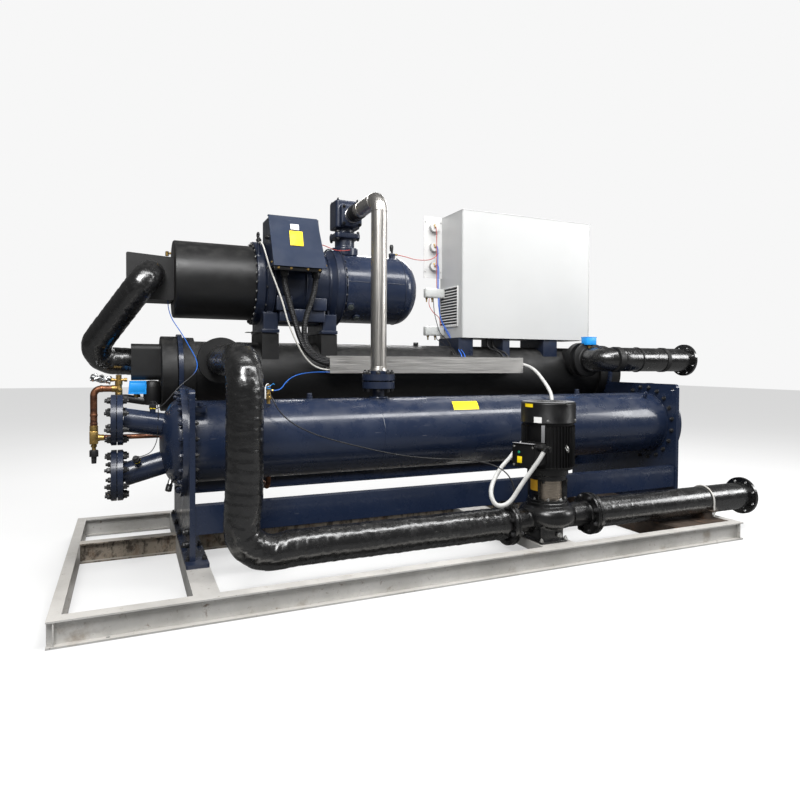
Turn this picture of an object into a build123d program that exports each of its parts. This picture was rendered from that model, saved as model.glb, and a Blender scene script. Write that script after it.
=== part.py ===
from build123d import *
import math
import os

# Water-cooled screw chiller on a galvanised beam frame.
# Millimetres, +Z up, -Y is the pump side (front), +X the side of the water flanges.
# The origin is on the ground in the middle of the base frame.
# fx(v) is a distance from the left end of the frame, fy(v) one from its front.

os.makedirs("parts", exist_ok=True)

# ---------------------------------------------------------------- base frame
FRAME_L = 4506.0
FRAME_W = 2008.0
BEAM_H = 126.0            # 126 x 74 I-section
BEAM_FLANGE_W = 74.0
BEAM_WEB_T = 6.0
BEAM_FLANGE_T = 8.4
CHANNEL_W = 58.0          # end channels of the frame
CROSS_L_X0, CROSS_L_X1 = 635.0, 765.0       # box crossmember, left
DECK_X0 = 3917.0                            # closed deck at the right end
PUMP_DECK_X0, PUMP_DECK_X1 = 2758.0, 3010.0 # channel laid flat below the pump
PUMP_DECK_H = 60.0
INNER_Y0 = 1266.0         # front face of the inner beam
ANCHOR_HOLE_R = 9.0
ANCHOR_DX = 4000.0        # anchor holes in the bottom flanges
ANCHOR_DY = 1968.0

# ---------------------------------------------------------------- end plates
PLATE_T = 31.0
PLATE_L_X0 = 662.0
PLATE_R_X0 = 4438.0
PLATE_Y0, PLATE_Y1 = 567.0, 1850.0
PLATE_Z0 = BEAM_H + 20.0
PLATE_TOP = 1130.0
FOOT_W = 128.0
FOOT_OFFSET = 22.0        # the foot strips are set inwards of the plates
RAIL_Y = 575.0            # front rail, 166 x 70 channel
RAIL_Z0, RAIL_Z1 = 293.0, 459.0

# ---------------------------------------------------------------- condenser
COND_Y, COND_Z = 905.0, 797.0
COND_R = 252.0
COND_WALL = 10.0
COND_FLANGE_R = 335.0
COND_FLANGE_T = 34.0
COND_HEAD_R = 262.0
COND_HEAD_L = 112.0
NOZ_R = 70.0              # condenser water nozzles
NOZ_WALL = 5.0
NOZ_X = 250.0             # outer face of the nozzle flange pairs
NOZ_UP_Z, NOZ_LO_Z = 943.0, 614.0
NOZ_FLANGE_R = 150.0      # DN150, eight holes
NOZ_FLANGE_T = 30.0
NOZ_PCD = 250.0
NOZ_HOLE_R = 13.0

# ---------------------------------------------------------------- evaporator
EVAP_Y, EVAP_Z = 1620.0, 1205.0
EVAP_R = 236.0            # over the insulation
EVAP_WALL = 40.0          # shell and insulation together
EVAP_SHEET_R = 284.0
EVAP_HEAD_R = 268.0
HEAD_L_X0 = 552.0
HEAD_R_X1 = 4590.0

# ---------------------------------------------------------------- water pipes
PIPE_R = 103.0            # over the black insulation
PIPE_BORE_R = 77.0
PIPE_Y = 250.0            # pump axis
PIPE_Z = 255.0
RISER_X = 912.0
EVAP_OUT_Z = 1303.0
EVAP_IN_Z = 1333.0
EVAP_IN_X = 4080.0
EVAP_IN_Y = 1000.0
FLANGE_R = 142.5          # DN150, eight holes
FLANGE_T = 24.0
FLANGE_PCD = 240.0
FLANGE_HOLE_R = 11.0
DISCHARGE_X1 = 4812.0
INLET_X1 = 5010.0

# ---------------------------------------------------------------- pump
PUMP_X = 2917.0
MOTOR_R = 178.0
MOTOR_Z0, MOTOR_Z1 = 598.0, 905.0
FAN_Z1 = 1042.0
VOLUTE_R, VOLUTE_Z = 192.0, 285.0
COVER_Z0, COVER_Z1 = 350.0, 380.0     # bolted cover on the casing
LANTERN_Z = 524.0                     # underside of the ring below the motor
SUCTION_X1 = 2600.0                   # faces of the pump's two flanges
DIS_X0 = 3268.0

# ---------------------------------------------------------------- compressor
COMP_Y, COMP_Z = 1620.0, 1885.0
COMP_R = 277.0
SEP_R = 272.0
COMP_X0, COMP_X1 = 637.0, 1190.0
BODY_X1 = 1860.0
SEP_X1 = 2365.0
SEP_DOME = 170.0
DISCH_X = 1952.0
DISCH_R = 56.0
DISCH_Z = 2446.0
VALVE_X = 1938.0

# ---------------------------------------------------------------- cabinet, tray
CAB_X0, CAB_X1 = 2911.0, 4258.0
CAB_Y0, CAB_Y1 = 1420.0, 1820.0
CAB_Z0, CAB_Z1 = 1510.0, 2584.0
TRAY_X0, TRAY_X1 = 1700.0, 3400.0
TRAY_Y0, TRAY_Y1 = 1235.0, 1335.0
TRAY_Z0, TRAY_Z1 = 1213.0, 1342.0

# ---------------------------------------------------------------- liquid line
LINE_Y, LINE_Z = 1480.0, 778.0
LINE_R = 17.0


def fx(v):
    return v - FRAME_L / 2


def fy(v):
    return v - FRAME_W / 2


def at(x, y, z):
    """Point from its distances to the left end and the front of the frame."""
    return Vector(fx(x), fy(y), z)


# ---------------------------------------------------------------- cables, their routes
SLEEVE_D = 28.0           # white sleeve from the tray round the pump motor to its box
SLEEVE = [at(3352, 1316, 1290), at(3412, 1286, 1288), at(3452, 1232, 1272), at(3462, 1165, 1244), at(3446, 1080, 1208),
          at(3414, 975, 1160), at(3374, 860, 1110), at(3318, 735, 1052), at(3235, 620, 955), at(3115, 545, 855), at(2990, 508, 795),
          at(2872, 478, 764), at(2775, 420, 742), at(2696, 350, 715), at(2618, 298, 684), at(2546, 254, 650),
          at(2482, 214, 612), at(2427, 178, 570), at(2391, 152, 534), at(2374, 128, 490), at(2386, 108, 442),
          at(2424, 92, 413), at(2472, 79, 416), at(2512, 68, 449), at(2546, 60, 502), at(2582, 50, 558),
          at(2617, 36, 610), at(2650, 22, 660), at(2680, 13, 704), at(2703, 9, 742)]
CONDUIT_D = 42.0          # black conduits from the compressor's terminal box to the tray
CONDUIT_A = [at(1369, 1270, 1942), at(1369, 1270, 1856), at(1400, 1256, 1730), at(1436, 1246, 1600), at(1472, 1240, 1475),
             at(1520, 1242, 1380), at(1592, 1254, 1316), at(1692, 1263, 1284), at(1800, 1264, 1274)]
CONDUIT_B = [at(1602, 1270, 1942), at(1602, 1270, 1856), at(1572, 1278, 1740), at(1534, 1284, 1635), at(1516, 1289, 1530),
             at(1532, 1294, 1435), at(1590, 1300, 1360), at(1680, 1306, 1310), at(1790, 1309, 1282)]
WHITE_D = 12.0            # white cable from the compressor to the tray
WHITE = [at(1206, 1358, 2148), at(1206, 1306, 2148), at(1212, 1262, 2124), at(1226, 1240, 2068), at(1250, 1226, 1970),
         at(1288, 1213, 1865), at(1320, 1203, 1775), at(1348, 1193, 1685), at(1370, 1186, 1592), at(1406, 1184, 1498),
         at(1452, 1190, 1405), at(1507, 1202, 1322), at(1568, 1217, 1268), at(1640, 1238, 1242), at(1716, 1256, 1237),
         at(1794, 1264, 1239)]
PUMP_CABLE_D = 8.0        # thin black cable along the condenser to the pump
PUMP_CABLE = [at(1150, 742, 1090), at(1150, 704, 1090), at(1154, 672, 1074), at(1166, 652, 1040), at(1188, 640, 996),
              at(1228, 628, 950),
              at(1280, 618, 908), at(1355, 602, 866), at(1446, 590, 828), at(1548, 585, 796), at(1652, 582, 766),
              at(1762, 580, 736), at(1874, 576, 708), at(1986, 564, 684), at(2098, 540, 668), at(2204, 497, 660),
              at(2300, 432, 660), at(2380, 352, 660), at(2440, 270, 654), at(2490, 196, 636), at(2530, 152, 598),
              at(2554, 134, 552), at(2568, 128, 504), at(2578, 136, 460), at(2590, 156, 422), at(2602, 188, 390)]
BLUE_D = 7.0              # blue wire from the condenser to the tray
BLUE = [at(1164, 760, 1112), at(1200, 760, 1112), at(1238, 786, 1122), at(1278, 850, 1158), at(1328, 922, 1186),
        at(1388, 1000, 1204), at(1454, 1078, 1214), at(1520, 1148, 1219), at(1584, 1208, 1222), at(1650, 1242, 1222),
        at(1724, 1250, 1221), at(1794, 1248, 1222)]
SENSOR_D = 6.0            # wire from the suction box to the sensor on the upper nozzle
SENSOR = [at(600, 1500, 1720), at(600, 1500, 1682), at(609, 1472, 1632), at(622, 1427, 1586), at(640, 1362, 1546),
          at(660, 1294, 1506), at(683, 1230, 1458), at(708, 1178, 1402), at(734, 1124, 1348), at(750, 1062, 1298),
          at(748, 1000, 1254), at(724, 942, 1218), at(690, 886, 1190), at(650, 842, 1162), at(606, 818, 1120),
          at(564, 824, 1066), at(528, 852, 1022), at(497, 879, 1005)]
CABINET_D = 20.0          # two black cables from the cabinet down into the tray
CABINET_A = [at(3258, 1506, 1510), at(3258, 1506, 1466), at(3265, 1480, 1428), at(3277, 1438, 1406), at(3291, 1390, 1396),
             at(3303, 1346, 1376), at(3310, 1314, 1340), at(3310, 1302, 1296)]
CABINET_B = [at(3202, 1498, 1510), at(3202, 1498, 1466), at(3209, 1472, 1428), at(3221, 1430, 1408), at(3235, 1382, 1398),
             at(3247, 1338, 1376), at(3254, 1306, 1340), at(3254, 1294, 1296)]

pieces = []


def finish_piece(bp, label):
    bp.part.label = label
    export_step(bp.part, f"parts/{label}.step")
    pieces.append(label)


def yz(x):
    """Plane across the length of the chiller at x, facing +X; its x is Y, its y is Z."""
    return Plane(origin=(fx(x), 0, 0), x_dir=(0, 1, 0), z_dir=(1, 0, 0))


def xz(y):
    """Upright plane facing the front at y; its x is X, its y is Z, it extrudes to -Y."""
    return Plane(origin=(0, fy(y), 0), x_dir=(1, 0, 0), z_dir=(0, -1, 0))


def level(z):
    return Plane.XY.offset(z)


def i_section(cy, z0=0.0):
    """Points of the I-section about its web, in a plane whose x is across and y is up."""
    a, b = BEAM_FLANGE_W / 2, BEAM_WEB_T / 2
    t, h = BEAM_FLANGE_T, BEAM_H
    pts = [(-a, 0), (a, 0), (a, t), (b, t), (b, h - t), (a, h - t), (a, h),
           (-a, h), (-a, h - t), (-b, h - t), (-b, t), (-a, t)]
    return [(p[0] + cy, p[1] + z0) for p in pts]


# ================================================================= base frame
with BuildPart() as base_front_beam:
    with BuildSketch(yz(0)):
        with BuildLine():
            Polyline(*i_section(fy(BEAM_FLANGE_W / 2)), close=True)
        make_face()
    extrude(amount=FRAME_L)
    with Locations(*[(sx * ANCHOR_DX / 2, -ANCHOR_DY / 2, BEAM_FLANGE_T) for sx in (-1, 1)]):
        Cylinder(ANCHOR_HOLE_R, 3 * BEAM_FLANGE_T, mode=Mode.SUBTRACT)
finish_piece(base_front_beam, "base_front_beam")

with BuildPart() as base_rear_beam:
    with BuildSketch(yz(0)):
        with BuildLine():
            Polyline(*i_section(fy(FRAME_W - BEAM_FLANGE_W / 2)), close=True)
        make_face()
    extrude(amount=FRAME_L)
    with Locations(*[(sx * ANCHOR_DX / 2, ANCHOR_DY / 2, BEAM_FLANGE_T) for sx in (-1, 1)]):
        Cylinder(ANCHOR_HOLE_R, 3 * BEAM_FLANGE_T, mode=Mode.SUBTRACT)
finish_piece(base_rear_beam, "base_rear_beam")

in_y0, in_y1 = fy(BEAM_FLANGE_W), fy(FRAME_W - BEAM_FLANGE_W)
in_len = in_y1 - in_y0


def end_channel(x_web, side):
    """Channel closing the frame: web at x_web, flanges pointing to side (+1 or -1)."""
    s, w, h = side, CHANNEL_W, BEAM_H
    pts = [(0, 0), (s * w, 0), (s * w, 9), (s * 6, 9), (s * 6, h - 9), (s * w, h - 9),
           (s * w, h), (0, h)]
    return [(x_web + p[0], p[1]) for p in pts]


with BuildPart() as base_end_channels:
    for x_web, side in ((0, 1), (FRAME_L, -1)):
        with BuildSketch(xz(FRAME_W - BEAM_FLANGE_W)):
            with BuildLine():
                Polyline(*end_channel(fx(x_web), side), close=True)
            make_face()
        extrude(amount=in_len)
finish_piece(base_end_channels, "base_end_channels")

# the inner beam is cut at the crossmember, so it is two lengths
with BuildPart() as base_inner_beams:
    for x0, x1 in ((CHANNEL_W, CROSS_L_X0), (CROSS_L_X1, DECK_X0)):
        with BuildSketch(yz(x0)):
            with BuildLine():
                Polyline(*i_section(fy(INNER_Y0 + BEAM_FLANGE_W / 2)), close=True)
            make_face()
        extrude(amount=x1 - x0)
finish_piece(base_inner_beams, "base_inner_beams")


with BuildPart() as crossmember_left:
    with BuildSketch(xz(FRAME_W - BEAM_FLANGE_W)):
        with Locations((fx((CROSS_L_X0 + CROSS_L_X1) / 2), BEAM_H / 2)):
            Rectangle(CROSS_L_X1 - CROSS_L_X0, BEAM_H)
            Rectangle(CROSS_L_X1 - CROSS_L_X0 - 14, BEAM_H - 18, mode=Mode.SUBTRACT)
    extrude(amount=in_len)
finish_piece(crossmember_left, "crossmember_left")

# three channels laid side by side, webs up, between the front and the rear beam
with BuildPart() as deck_right:
    deck_x1 = FRAME_L - CHANNEL_W
    deck_w = (deck_x1 - DECK_X0) / 3
    with BuildSketch(xz(FRAME_W - BEAM_FLANGE_W)):
        with Locations((fx((DECK_X0 + deck_x1) / 2), BEAM_H / 2)):
            Rectangle(deck_x1 - DECK_X0, BEAM_H)
        for k in range(3):
            with Locations((fx(DECK_X0 + deck_w * (k + 0.5)), BEAM_H / 2 - 9)):
                Rectangle(deck_w - 16, BEAM_H, mode=Mode.SUBTRACT)
    extrude(amount=in_len)
finish_piece(deck_right, "deck_right")

with BuildPart() as crossmember_pump:
    deck_len = INNER_Y0 - BEAM_FLANGE_W
    with BuildSketch(xz(INNER_Y0)):
        with Locations((fx((PUMP_DECK_X0 + PUMP_DECK_X1) / 2), BEAM_H - PUMP_DECK_H / 2)):
            Rectangle(PUMP_DECK_X1 - PUMP_DECK_X0, PUMP_DECK_H)
        with Locations((fx((PUMP_DECK_X0 + PUMP_DECK_X1) / 2), BEAM_H - PUMP_DECK_H / 2 - 5)):
            Rectangle(PUMP_DECK_X1 - PUMP_DECK_X0 - 16, PUMP_DECK_H - 10, mode=Mode.SUBTRACT)
    extrude(amount=deck_len)
finish_piece(crossmember_pump, "crossmember_pump")

# ================================================================= end plates
# One plate at each end carries both shells: square to the front, where it holds the
# condenser, and round at the top behind, where it is the tube sheet of the evaporator.


def end_plate(x0, label, foot_side, foot_z=BEAM_H):
    with BuildPart() as plate:
        with BuildSketch(yz(x0)) as sk:
            with Locations((fy((PLATE_Y0 + PLATE_Y1) / 2), (PLATE_Z0 + PLATE_TOP) / 2)):
                RectangleRounded(PLATE_Y1 - PLATE_Y0, PLATE_TOP - PLATE_Z0, 34)
            with Locations((fy((PLATE_Y0 + PLATE_Y1) / 2), PLATE_Z0 + 100)):
                Rectangle(PLATE_Y1 - PLATE_Y0, 200)
            with Locations((fy(EVAP_Y), EVAP_Z)):
                Circle(EVAP_SHEET_R)
        extrude(amount=PLATE_T)
        xc = fx(x0 + PLATE_T / 2)
        # foot strip along the bottom
        with BuildSketch(level(foot_z)):
            with Locations((xc + foot_side * FOOT_OFFSET, fy((PLATE_Y0 + PLATE_Y1) / 2 - 35))):
                RectangleRounded(FOOT_W, PLATE_Y1 - PLATE_Y0 + 90, 12)
        extrude(amount=PLATE_Z0 - foot_z)
        # lifting holes in the two lower shoulders
        with BuildSketch(yz(x0 - 1)):
            with Locations((fy(PLATE_Y0 + 42), PLATE_TOP - 46)):
                Circle(15)
        extrude(amount=PLATE_T + 2, mode=Mode.SUBTRACT)
        if foot_side > 0:      # the liquid line passes through the left plate
            with BuildSketch(yz(x0 - 1)):
                with Locations((fy(LINE_Y), LINE_Z)):
                    Circle(LINE_R + 5)
            extrude(amount=PLATE_T + 2, mode=Mode.SUBTRACT)
    finish_piece(plate, label)
    return plate


end_plate_left = end_plate(PLATE_L_X0, "end_plate_left", 1)
end_plate_right = end_plate(PLATE_R_X0, "end_plate_right", -1)

SHELL_X0 = PLATE_L_X0 + PLATE_T
SHELL_X1 = PLATE_R_X0
SHELL_L = SHELL_X1 - SHELL_X0

with BuildPart() as shell_rails:
    # front: channel with its web to the front; rear: smaller channel, open to the front
    with BuildSketch(yz(SHELL_X0)):
        with BuildLine():
            y0, z0, z1 = fy(RAIL_Y), RAIL_Z0, RAIL_Z1
            Polyline((y0, z0), (y0 + 70, z0), (y0 + 70, z0 + 10), (y0 + 9, z0 + 10), (y0 + 9, z1 - 10),
                     (y0 + 70, z1 - 10), (y0 + 70, z1), (y0, z1), close=True)
        make_face()
    extrude(amount=SHELL_L)
    with BuildSketch(yz(SHELL_X0)):
        with BuildLine():
            y0, z0, z1 = fy(1810), 296.0, 396.0
            Polyline((y0, z0), (y0 - 48, z0), (y0 - 48, z0 + 8), (y0 - 6, z0 + 8), (y0 - 6, z1 - 8),
                     (y0 - 48, z1 - 8), (y0 - 48, z1), (y0, z1), close=True)
        make_face()
    extrude(amount=SHELL_L)
finish_piece(shell_rails, "shell_rails")

# ================================================================= condenser
with BuildPart() as condenser_shell:
    with BuildSketch(yz(SHELL_X0)):
        with Locations((fy(COND_Y), COND_Z)):
            Circle(COND_R)
            Circle(COND_R - COND_WALL, mode=Mode.SUBTRACT)
    extrude(amount=SHELL_L)
    # collar of the gas inlet on top
    with BuildSketch(level(COND_Z + COND_R - 8)):
        with Locations((fx(DISCH_X), fy(COND_Y))):
            Circle(66)
            Circle(40, mode=Mode.SUBTRACT)
    extrude(amount=16)
finish_piece(condenser_shell, "condenser_shell")


def dished_head(x_flat, side, label):
    """Dished cover bolted on the outer side of an end plate; side is -1 left, +1 right."""
    with BuildPart() as head:
        with BuildSketch(xz(COND_Y)):
            with BuildLine():
                r, d, t = COND_HEAD_R, COND_HEAD_L, COND_FLANGE_T
                x = fx(x_flat)
                s = side
                wall = 12.0
                rim = x + s * t
                n = 10
                outer = [(rim + s * d * math.sin(a), COND_Z + r * math.cos(a))
                         for a in [math.pi / 2 * k / n for k in range(n + 1)]]
                inner = [(rim + s * (d - wall) * math.sin(a), COND_Z + (r - wall) * math.cos(a))
                         for a in [math.pi / 2 * k / n for k in range(n, -1, -1)]]
                l1 = Polyline((x, COND_Z + r - wall), (x, COND_Z + COND_FLANGE_R), (rim, COND_Z + COND_FLANGE_R), outer[0])
                l2 = Spline(*outer)
                l3 = Line(outer[-1], inner[0])
                l4 = Spline(*inner)
                l5 = Line(inner[-1], (x, COND_Z + r - wall))
            make_face()
        revolve(axis=Axis((0, fy(COND_Y), COND_Z), (1, 0, 0)))
    return head


condenser_head_left = dished_head(PLATE_L_X0, -1, "condenser_head_left")
condenser_head_right = dished_head(PLATE_R_X0 + PLATE_T, 1, "condenser_head_right")


def nozzle_frame(z_flange, z_head):
    """Start and end of a nozzle's axis."""
    a = Vector(fx(NOZ_X + 2 * NOZ_FLANGE_T + 6), fy(COND_Y), z_flange)
    b = Vector(fx(PLATE_L_X0 - COND_FLANGE_T - 60), fy(COND_Y), z_head)
    return a, b


def water_nozzle(z_flange, z_head):
    a, b = nozzle_frame(z_flange, z_head)
    with BuildPart() as noz:
        with BuildSketch(Plane(origin=a, x_dir=(0, 1, 0), z_dir=(b - a).normalized())):
            Circle(NOZ_R)
            Circle(NOZ_R - NOZ_WALL, mode=Mode.SUBTRACT)
        extrude(amount=(b - a).length)
        # flange standing square to X
        with BuildSketch(yz(NOZ_X + NOZ_FLANGE_T + 4)):
            with Locations((a.Y, z_flange)):
                Circle(NOZ_FLANGE_R)
                Circle(NOZ_R - NOZ_WALL, mode=Mode.SUBTRACT)
            with Locations((a.Y, z_flange)):
                with PolarLocations(NOZ_PCD / 2, 8, start_angle=22.5):
                    Circle(NOZ_HOLE_R, mode=Mode.SUBTRACT)
        extrude(amount=NOZ_FLANGE_T)
        # straight bore through the flange and the mouth of the pipe
        with BuildSketch(yz(NOZ_X + NOZ_FLANGE_T + 4)):
            with Locations((a.Y, z_flange)):
                Circle(NOZ_R - NOZ_WALL)
        extrude(amount=NOZ_FLANGE_T + 16, mode=Mode.SUBTRACT)
    return noz


# what the inside of the left head takes away from the nozzle pipes
with BuildPart() as head_space:
    with BuildSketch(xz(COND_Y)):
        with BuildLine():
            r, d, t = COND_HEAD_R - 6, COND_HEAD_L - 6, COND_FLANGE_T
            x = fx(PLATE_L_X0)
            rim = x - t
            n = 10
            arc = [(rim - d * math.sin(a), COND_Z + r * math.cos(a))
                   for a in [math.pi / 2 * k / n for k in range(n + 1)]]
            Polyline(arc[-1], (x, COND_Z), (x, COND_Z + r), arc[0])
            Spline(*arc)
        make_face()
    revolve(axis=Axis((0, fy(COND_Y), COND_Z), (1, 0, 0)))

HEAD_UP_Z, HEAD_LO_Z = 901.0, 683.0       # where the nozzles meet the head
nozzle_upper = water_nozzle(NOZ_UP_Z, HEAD_UP_Z)
nozzle_lower = water_nozzle(NOZ_LO_Z, HEAD_LO_Z)

with BuildPart() as condenser_nozzles:
    add(nozzle_upper.part)
    add(nozzle_lower.part)
    add(head_space.part, mode=Mode.SUBTRACT)
    # sensor wells on the two nozzle pipes
    with BuildSketch(level(955)):
        with Locations((fx(478), fy(COND_Y - 20))):
            Circle(17)
    extrude(amount=58)
    with BuildSketch(Plane(origin=at(400, COND_Y - 55, 680), z_dir=(-0.25, -0.75, 0.6))):
        Circle(17)
    extrude(amount=48)
finish_piece(condenser_nozzles, "condenser_nozzles")


def port_cut(z_flange, z_head):
    a, b = nozzle_frame(z_flange, z_head)
    with BuildPart() as port:
        with BuildSketch(Plane(origin=a, x_dir=(0, 1, 0), z_dir=(b - a).normalized())):
            Circle(NOZ_R + 0.3)
        extrude(amount=(b - a).length + 40)
    return port


with BuildPart() as left_head:
    add(condenser_head_left.part)
    add(port_cut(NOZ_UP_Z, HEAD_UP_Z).part, mode=Mode.SUBTRACT)
    add(port_cut(NOZ_LO_Z, HEAD_LO_Z).part, mode=Mode.SUBTRACT)
finish_piece(left_head, "condenser_head_left")
finish_piece(condenser_head_right, "condenser_head_right")

# loose counter flanges bolted to the nozzle flanges
with BuildPart() as counter_flanges:
    for zf in (NOZ_UP_Z, NOZ_LO_Z):
        with BuildSketch(yz(NOZ_X)):
            with Locations((fy(COND_Y), zf)):
                Circle(NOZ_FLANGE_R)
                Circle(NOZ_R - NOZ_WALL, mode=Mode.SUBTRACT)
            with Locations((fy(COND_Y), zf)):
                with PolarLocations(NOZ_PCD / 2, 8, start_angle=22.5):
                    Circle(NOZ_HOLE_R, mode=Mode.SUBTRACT)
        extrude(amount=NOZ_FLANGE_T)
        # jointing face, the narrow gap between the two flanges
        with BuildSketch(yz(NOZ_X + NOZ_FLANGE_T)):
            with Locations((fy(COND_Y), zf)):
                Circle(105)
                Circle(NOZ_R - NOZ_WALL, mode=Mode.SUBTRACT)
        extrude(amount=4)
finish_piece(counter_flanges, "counter_flanges")

with BuildPart() as condenser_fitting:      # upright fitting on the front shoulder of the shell
    with BuildSketch(level(990)):
        with Locations((fx(1150), fy(760))):
            Circle(12)
    extrude(amount=70)
    with BuildSketch(level(1060)):
        with Locations((fx(1150), fy(760))):
            RegularPolygon(20, 6)
    extrude(amount=24)
    with BuildSketch(level(1084)):
        with Locations((fx(1150), fy(760))):
            Circle(14)
    extrude(amount=70)
    add(Solid.make_box(24, 20, 16, Plane(origin=at(1138, 742, 1082))))
    add(condenser_shell.part, mode=Mode.SUBTRACT)
    with BuildSketch(yz(SHELL_X0)):
        with Locations((fy(COND_Y), COND_Z)):
            Circle(COND_R - 2)
    extrude(amount=SHELL_L, mode=Mode.SUBTRACT)
finish_piece(condenser_fitting, "condenser_fitting")

# ================================================================= evaporator
with BuildPart() as evaporator_shell:
    with BuildSketch(yz(SHELL_X0)):
        with Locations((fy(EVAP_Y), EVAP_Z)):
            Circle(EVAP_R)
            Circle(EVAP_R - EVAP_WALL, mode=Mode.SUBTRACT)
    extrude(amount=SHELL_L)
    # insulated collars against the tube sheets
    for x0, ln in ((SHELL_X0, 82.0), (SHELL_X1 - 82.0, 82.0)):
        with BuildSketch(yz(x0)):
            with Locations((fy(EVAP_Y), EVAP_Z)):
                Circle(EVAP_R + 26)
                Circle(EVAP_R - EVAP_WALL, mode=Mode.SUBTRACT)
        extrude(amount=ln)
finish_piece(evaporator_shell, "evaporator_shell")

for x0, x1, label in ((HEAD_L_X0, PLATE_L_X0, "evaporator_head_left"),
                      (PLATE_R_X0 + PLATE_T, HEAD_R_X1, "evaporator_head_right")):
    with BuildPart() as drum:
        with BuildSketch(yz(x0)):
            with Locations((fy(EVAP_Y), EVAP_Z)):
                Circle(EVAP_HEAD_R)
        extrude(amount=x1 - x0)
        fillet(drum.edges().filter_by(GeomType.CIRCLE), radius=9)
    finish_piece(drum, label)

# ================================================================= water pipes


def pipe_sweep(points, radii, r_out, r_in=0.0):
    """Pipe along straight runs joined by round bends, hollow if r_in is given."""
    with BuildPart() as pipe:
        with BuildLine() as path:
            if len(points) == 2:
                Line(*points)
            else:
                FilletPolyline(*points, radius=radii)
        start = path.wires()[0]
        with BuildSketch(Plane(origin=start @ 0, z_dir=start % 0)):
            Circle(r_out)
            if r_in:
                Circle(r_in, mode=Mode.SUBTRACT)
        sweep(path=start)
    return pipe


evap_front = EVAP_Y - math.sqrt(EVAP_R ** 2 - (EVAP_OUT_Z - EVAP_Z) ** 2)
OUT_FLANGE_Y = 1175.0

with BuildPart() as evap_envelope:
    with BuildSketch(yz(SHELL_X0)):
        with Locations((fy(EVAP_Y), EVAP_Z)):
            Circle(EVAP_R)
    extrude(amount=SHELL_L)

# insulated stubs with their flange pairs at the two water ports
IN_STUB_Y = 1290.0
with BuildPart() as evaporator_port_stubs:
    for xs, zs, y_end, r_ring in ((RISER_X + 8, EVAP_OUT_Z, OUT_FLANGE_Y, 154), (EVAP_IN_X, EVAP_IN_Z, IN_STUB_Y, 150)):
        with BuildSketch(Plane(origin=(fx(xs), fy(EVAP_Y - 90), zs), x_dir=(1, 0, 0), z_dir=(0, -1, 0))):
            Circle(PIPE_R)
        extrude(amount=EVAP_Y - 90 - y_end - 60)
        with BuildSketch(Plane(origin=(fx(xs), fy(y_end + 60), zs), x_dir=(1, 0, 0), z_dir=(0, -1, 0))):
            Circle(r_ring)
        extrude(amount=60)
    add(evap_envelope.part, mode=Mode.SUBTRACT)
finish_piece(evaporator_port_stubs, "evaporator_port_stubs")

pump_suction_run = pipe_sweep(
    [(fx(RISER_X + 8), fy(OUT_FLANGE_Y), EVAP_OUT_Z), (fx(RISER_X + 8), fy(PIPE_Y), EVAP_OUT_Z),
     (fx(RISER_X), fy(PIPE_Y), PIPE_Z), (fx(SUCTION_X1), fy(PIPE_Y), PIPE_Z)],
    [190.0, 190.0], PIPE_R)
with BuildPart() as pump_suction_pipe:
    add(pump_suction_run.part)
    with BuildSketch(yz(SUCTION_X1 - FLANGE_T)):
        with Locations((fy(PIPE_Y), PIPE_Z)):
            Circle(FLANGE_R)
    extrude(amount=FLANGE_T)
finish_piece(pump_suction_pipe, "pump_suction_pipe")

with BuildPart() as pump_discharge_pipe:
    with BuildSketch(yz(DIS_X0)):
        with Locations((fy(PIPE_Y), PIPE_Z)):
            Circle(PIPE_R)
            Circle(PIPE_BORE_R, mode=Mode.SUBTRACT)
    extrude(amount=DISCHARGE_X1 - FLANGE_T - DIS_X0)
    with BuildSketch(yz(DIS_X0)):
        with Locations((fy(PIPE_Y), PIPE_Z)):
            Circle(FLANGE_R)
            Circle(PIPE_BORE_R, mode=Mode.SUBTRACT)
    extrude(amount=FLANGE_T)
    with BuildSketch(yz(DISCHARGE_X1 - FLANGE_T)):
        with Locations((fy(PIPE_Y), PIPE_Z)):
            Circle(FLANGE_R)
            Circle(PIPE_BORE_R, mode=Mode.SUBTRACT)
        with Locations((fy(PIPE_Y), PIPE_Z)):
            with PolarLocations(FLANGE_PCD / 2, 8, start_angle=22.5):
                Circle(FLANGE_HOLE_R, mode=Mode.SUBTRACT)
    extrude(amount=FLANGE_T)
finish_piece(pump_discharge_pipe, "pump_discharge_pipe")

# support block with a saddle under the discharge pipe
with BuildPart() as pipe_support:
    with BuildSketch(xz(PIPE_Y + 55)):
        with Locations((fx(4372), (BEAM_H + PIPE_Z - 40) / 2)):
            Rectangle(100, PIPE_Z - 40 - BEAM_H)
    extrude(amount=110)
    with BuildSketch(yz(4300)):
        with Locations((fy(PIPE_Y), PIPE_Z)):
            Circle(PIPE_R + 0.2)
    extrude(amount=150, mode=Mode.SUBTRACT)
finish_piece(pipe_support, "pipe_support")

# right water pipe: bend at the stub, straight run to the right, flange
with BuildPart() as evaporator_inlet_pipe:
    add(pipe_sweep([(fx(EVAP_IN_X), fy(IN_STUB_Y), EVAP_IN_Z), (fx(EVAP_IN_X), fy(EVAP_IN_Y), EVAP_IN_Z),
                    (fx(INLET_X1 - FLANGE_T), fy(EVAP_IN_Y), EVAP_IN_Z)], [200.0], PIPE_R, PIPE_BORE_R).part)
    with BuildSketch(yz(INLET_X1 - FLANGE_T)):
        with Locations((fy(EVAP_IN_Y), EVAP_IN_Z)):
            Circle(FLANGE_R)
            Circle(PIPE_BORE_R, mode=Mode.SUBTRACT)
        with Locations((fy(EVAP_IN_Y), EVAP_IN_Z)):
            with PolarLocations(FLANGE_PCD / 2, 8, start_angle=22.5):
                Circle(FLANGE_HOLE_R, mode=Mode.SUBTRACT)
    extrude(amount=FLANGE_T)
finish_piece(evaporator_inlet_pipe, "evaporator_inlet_pipe")

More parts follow.
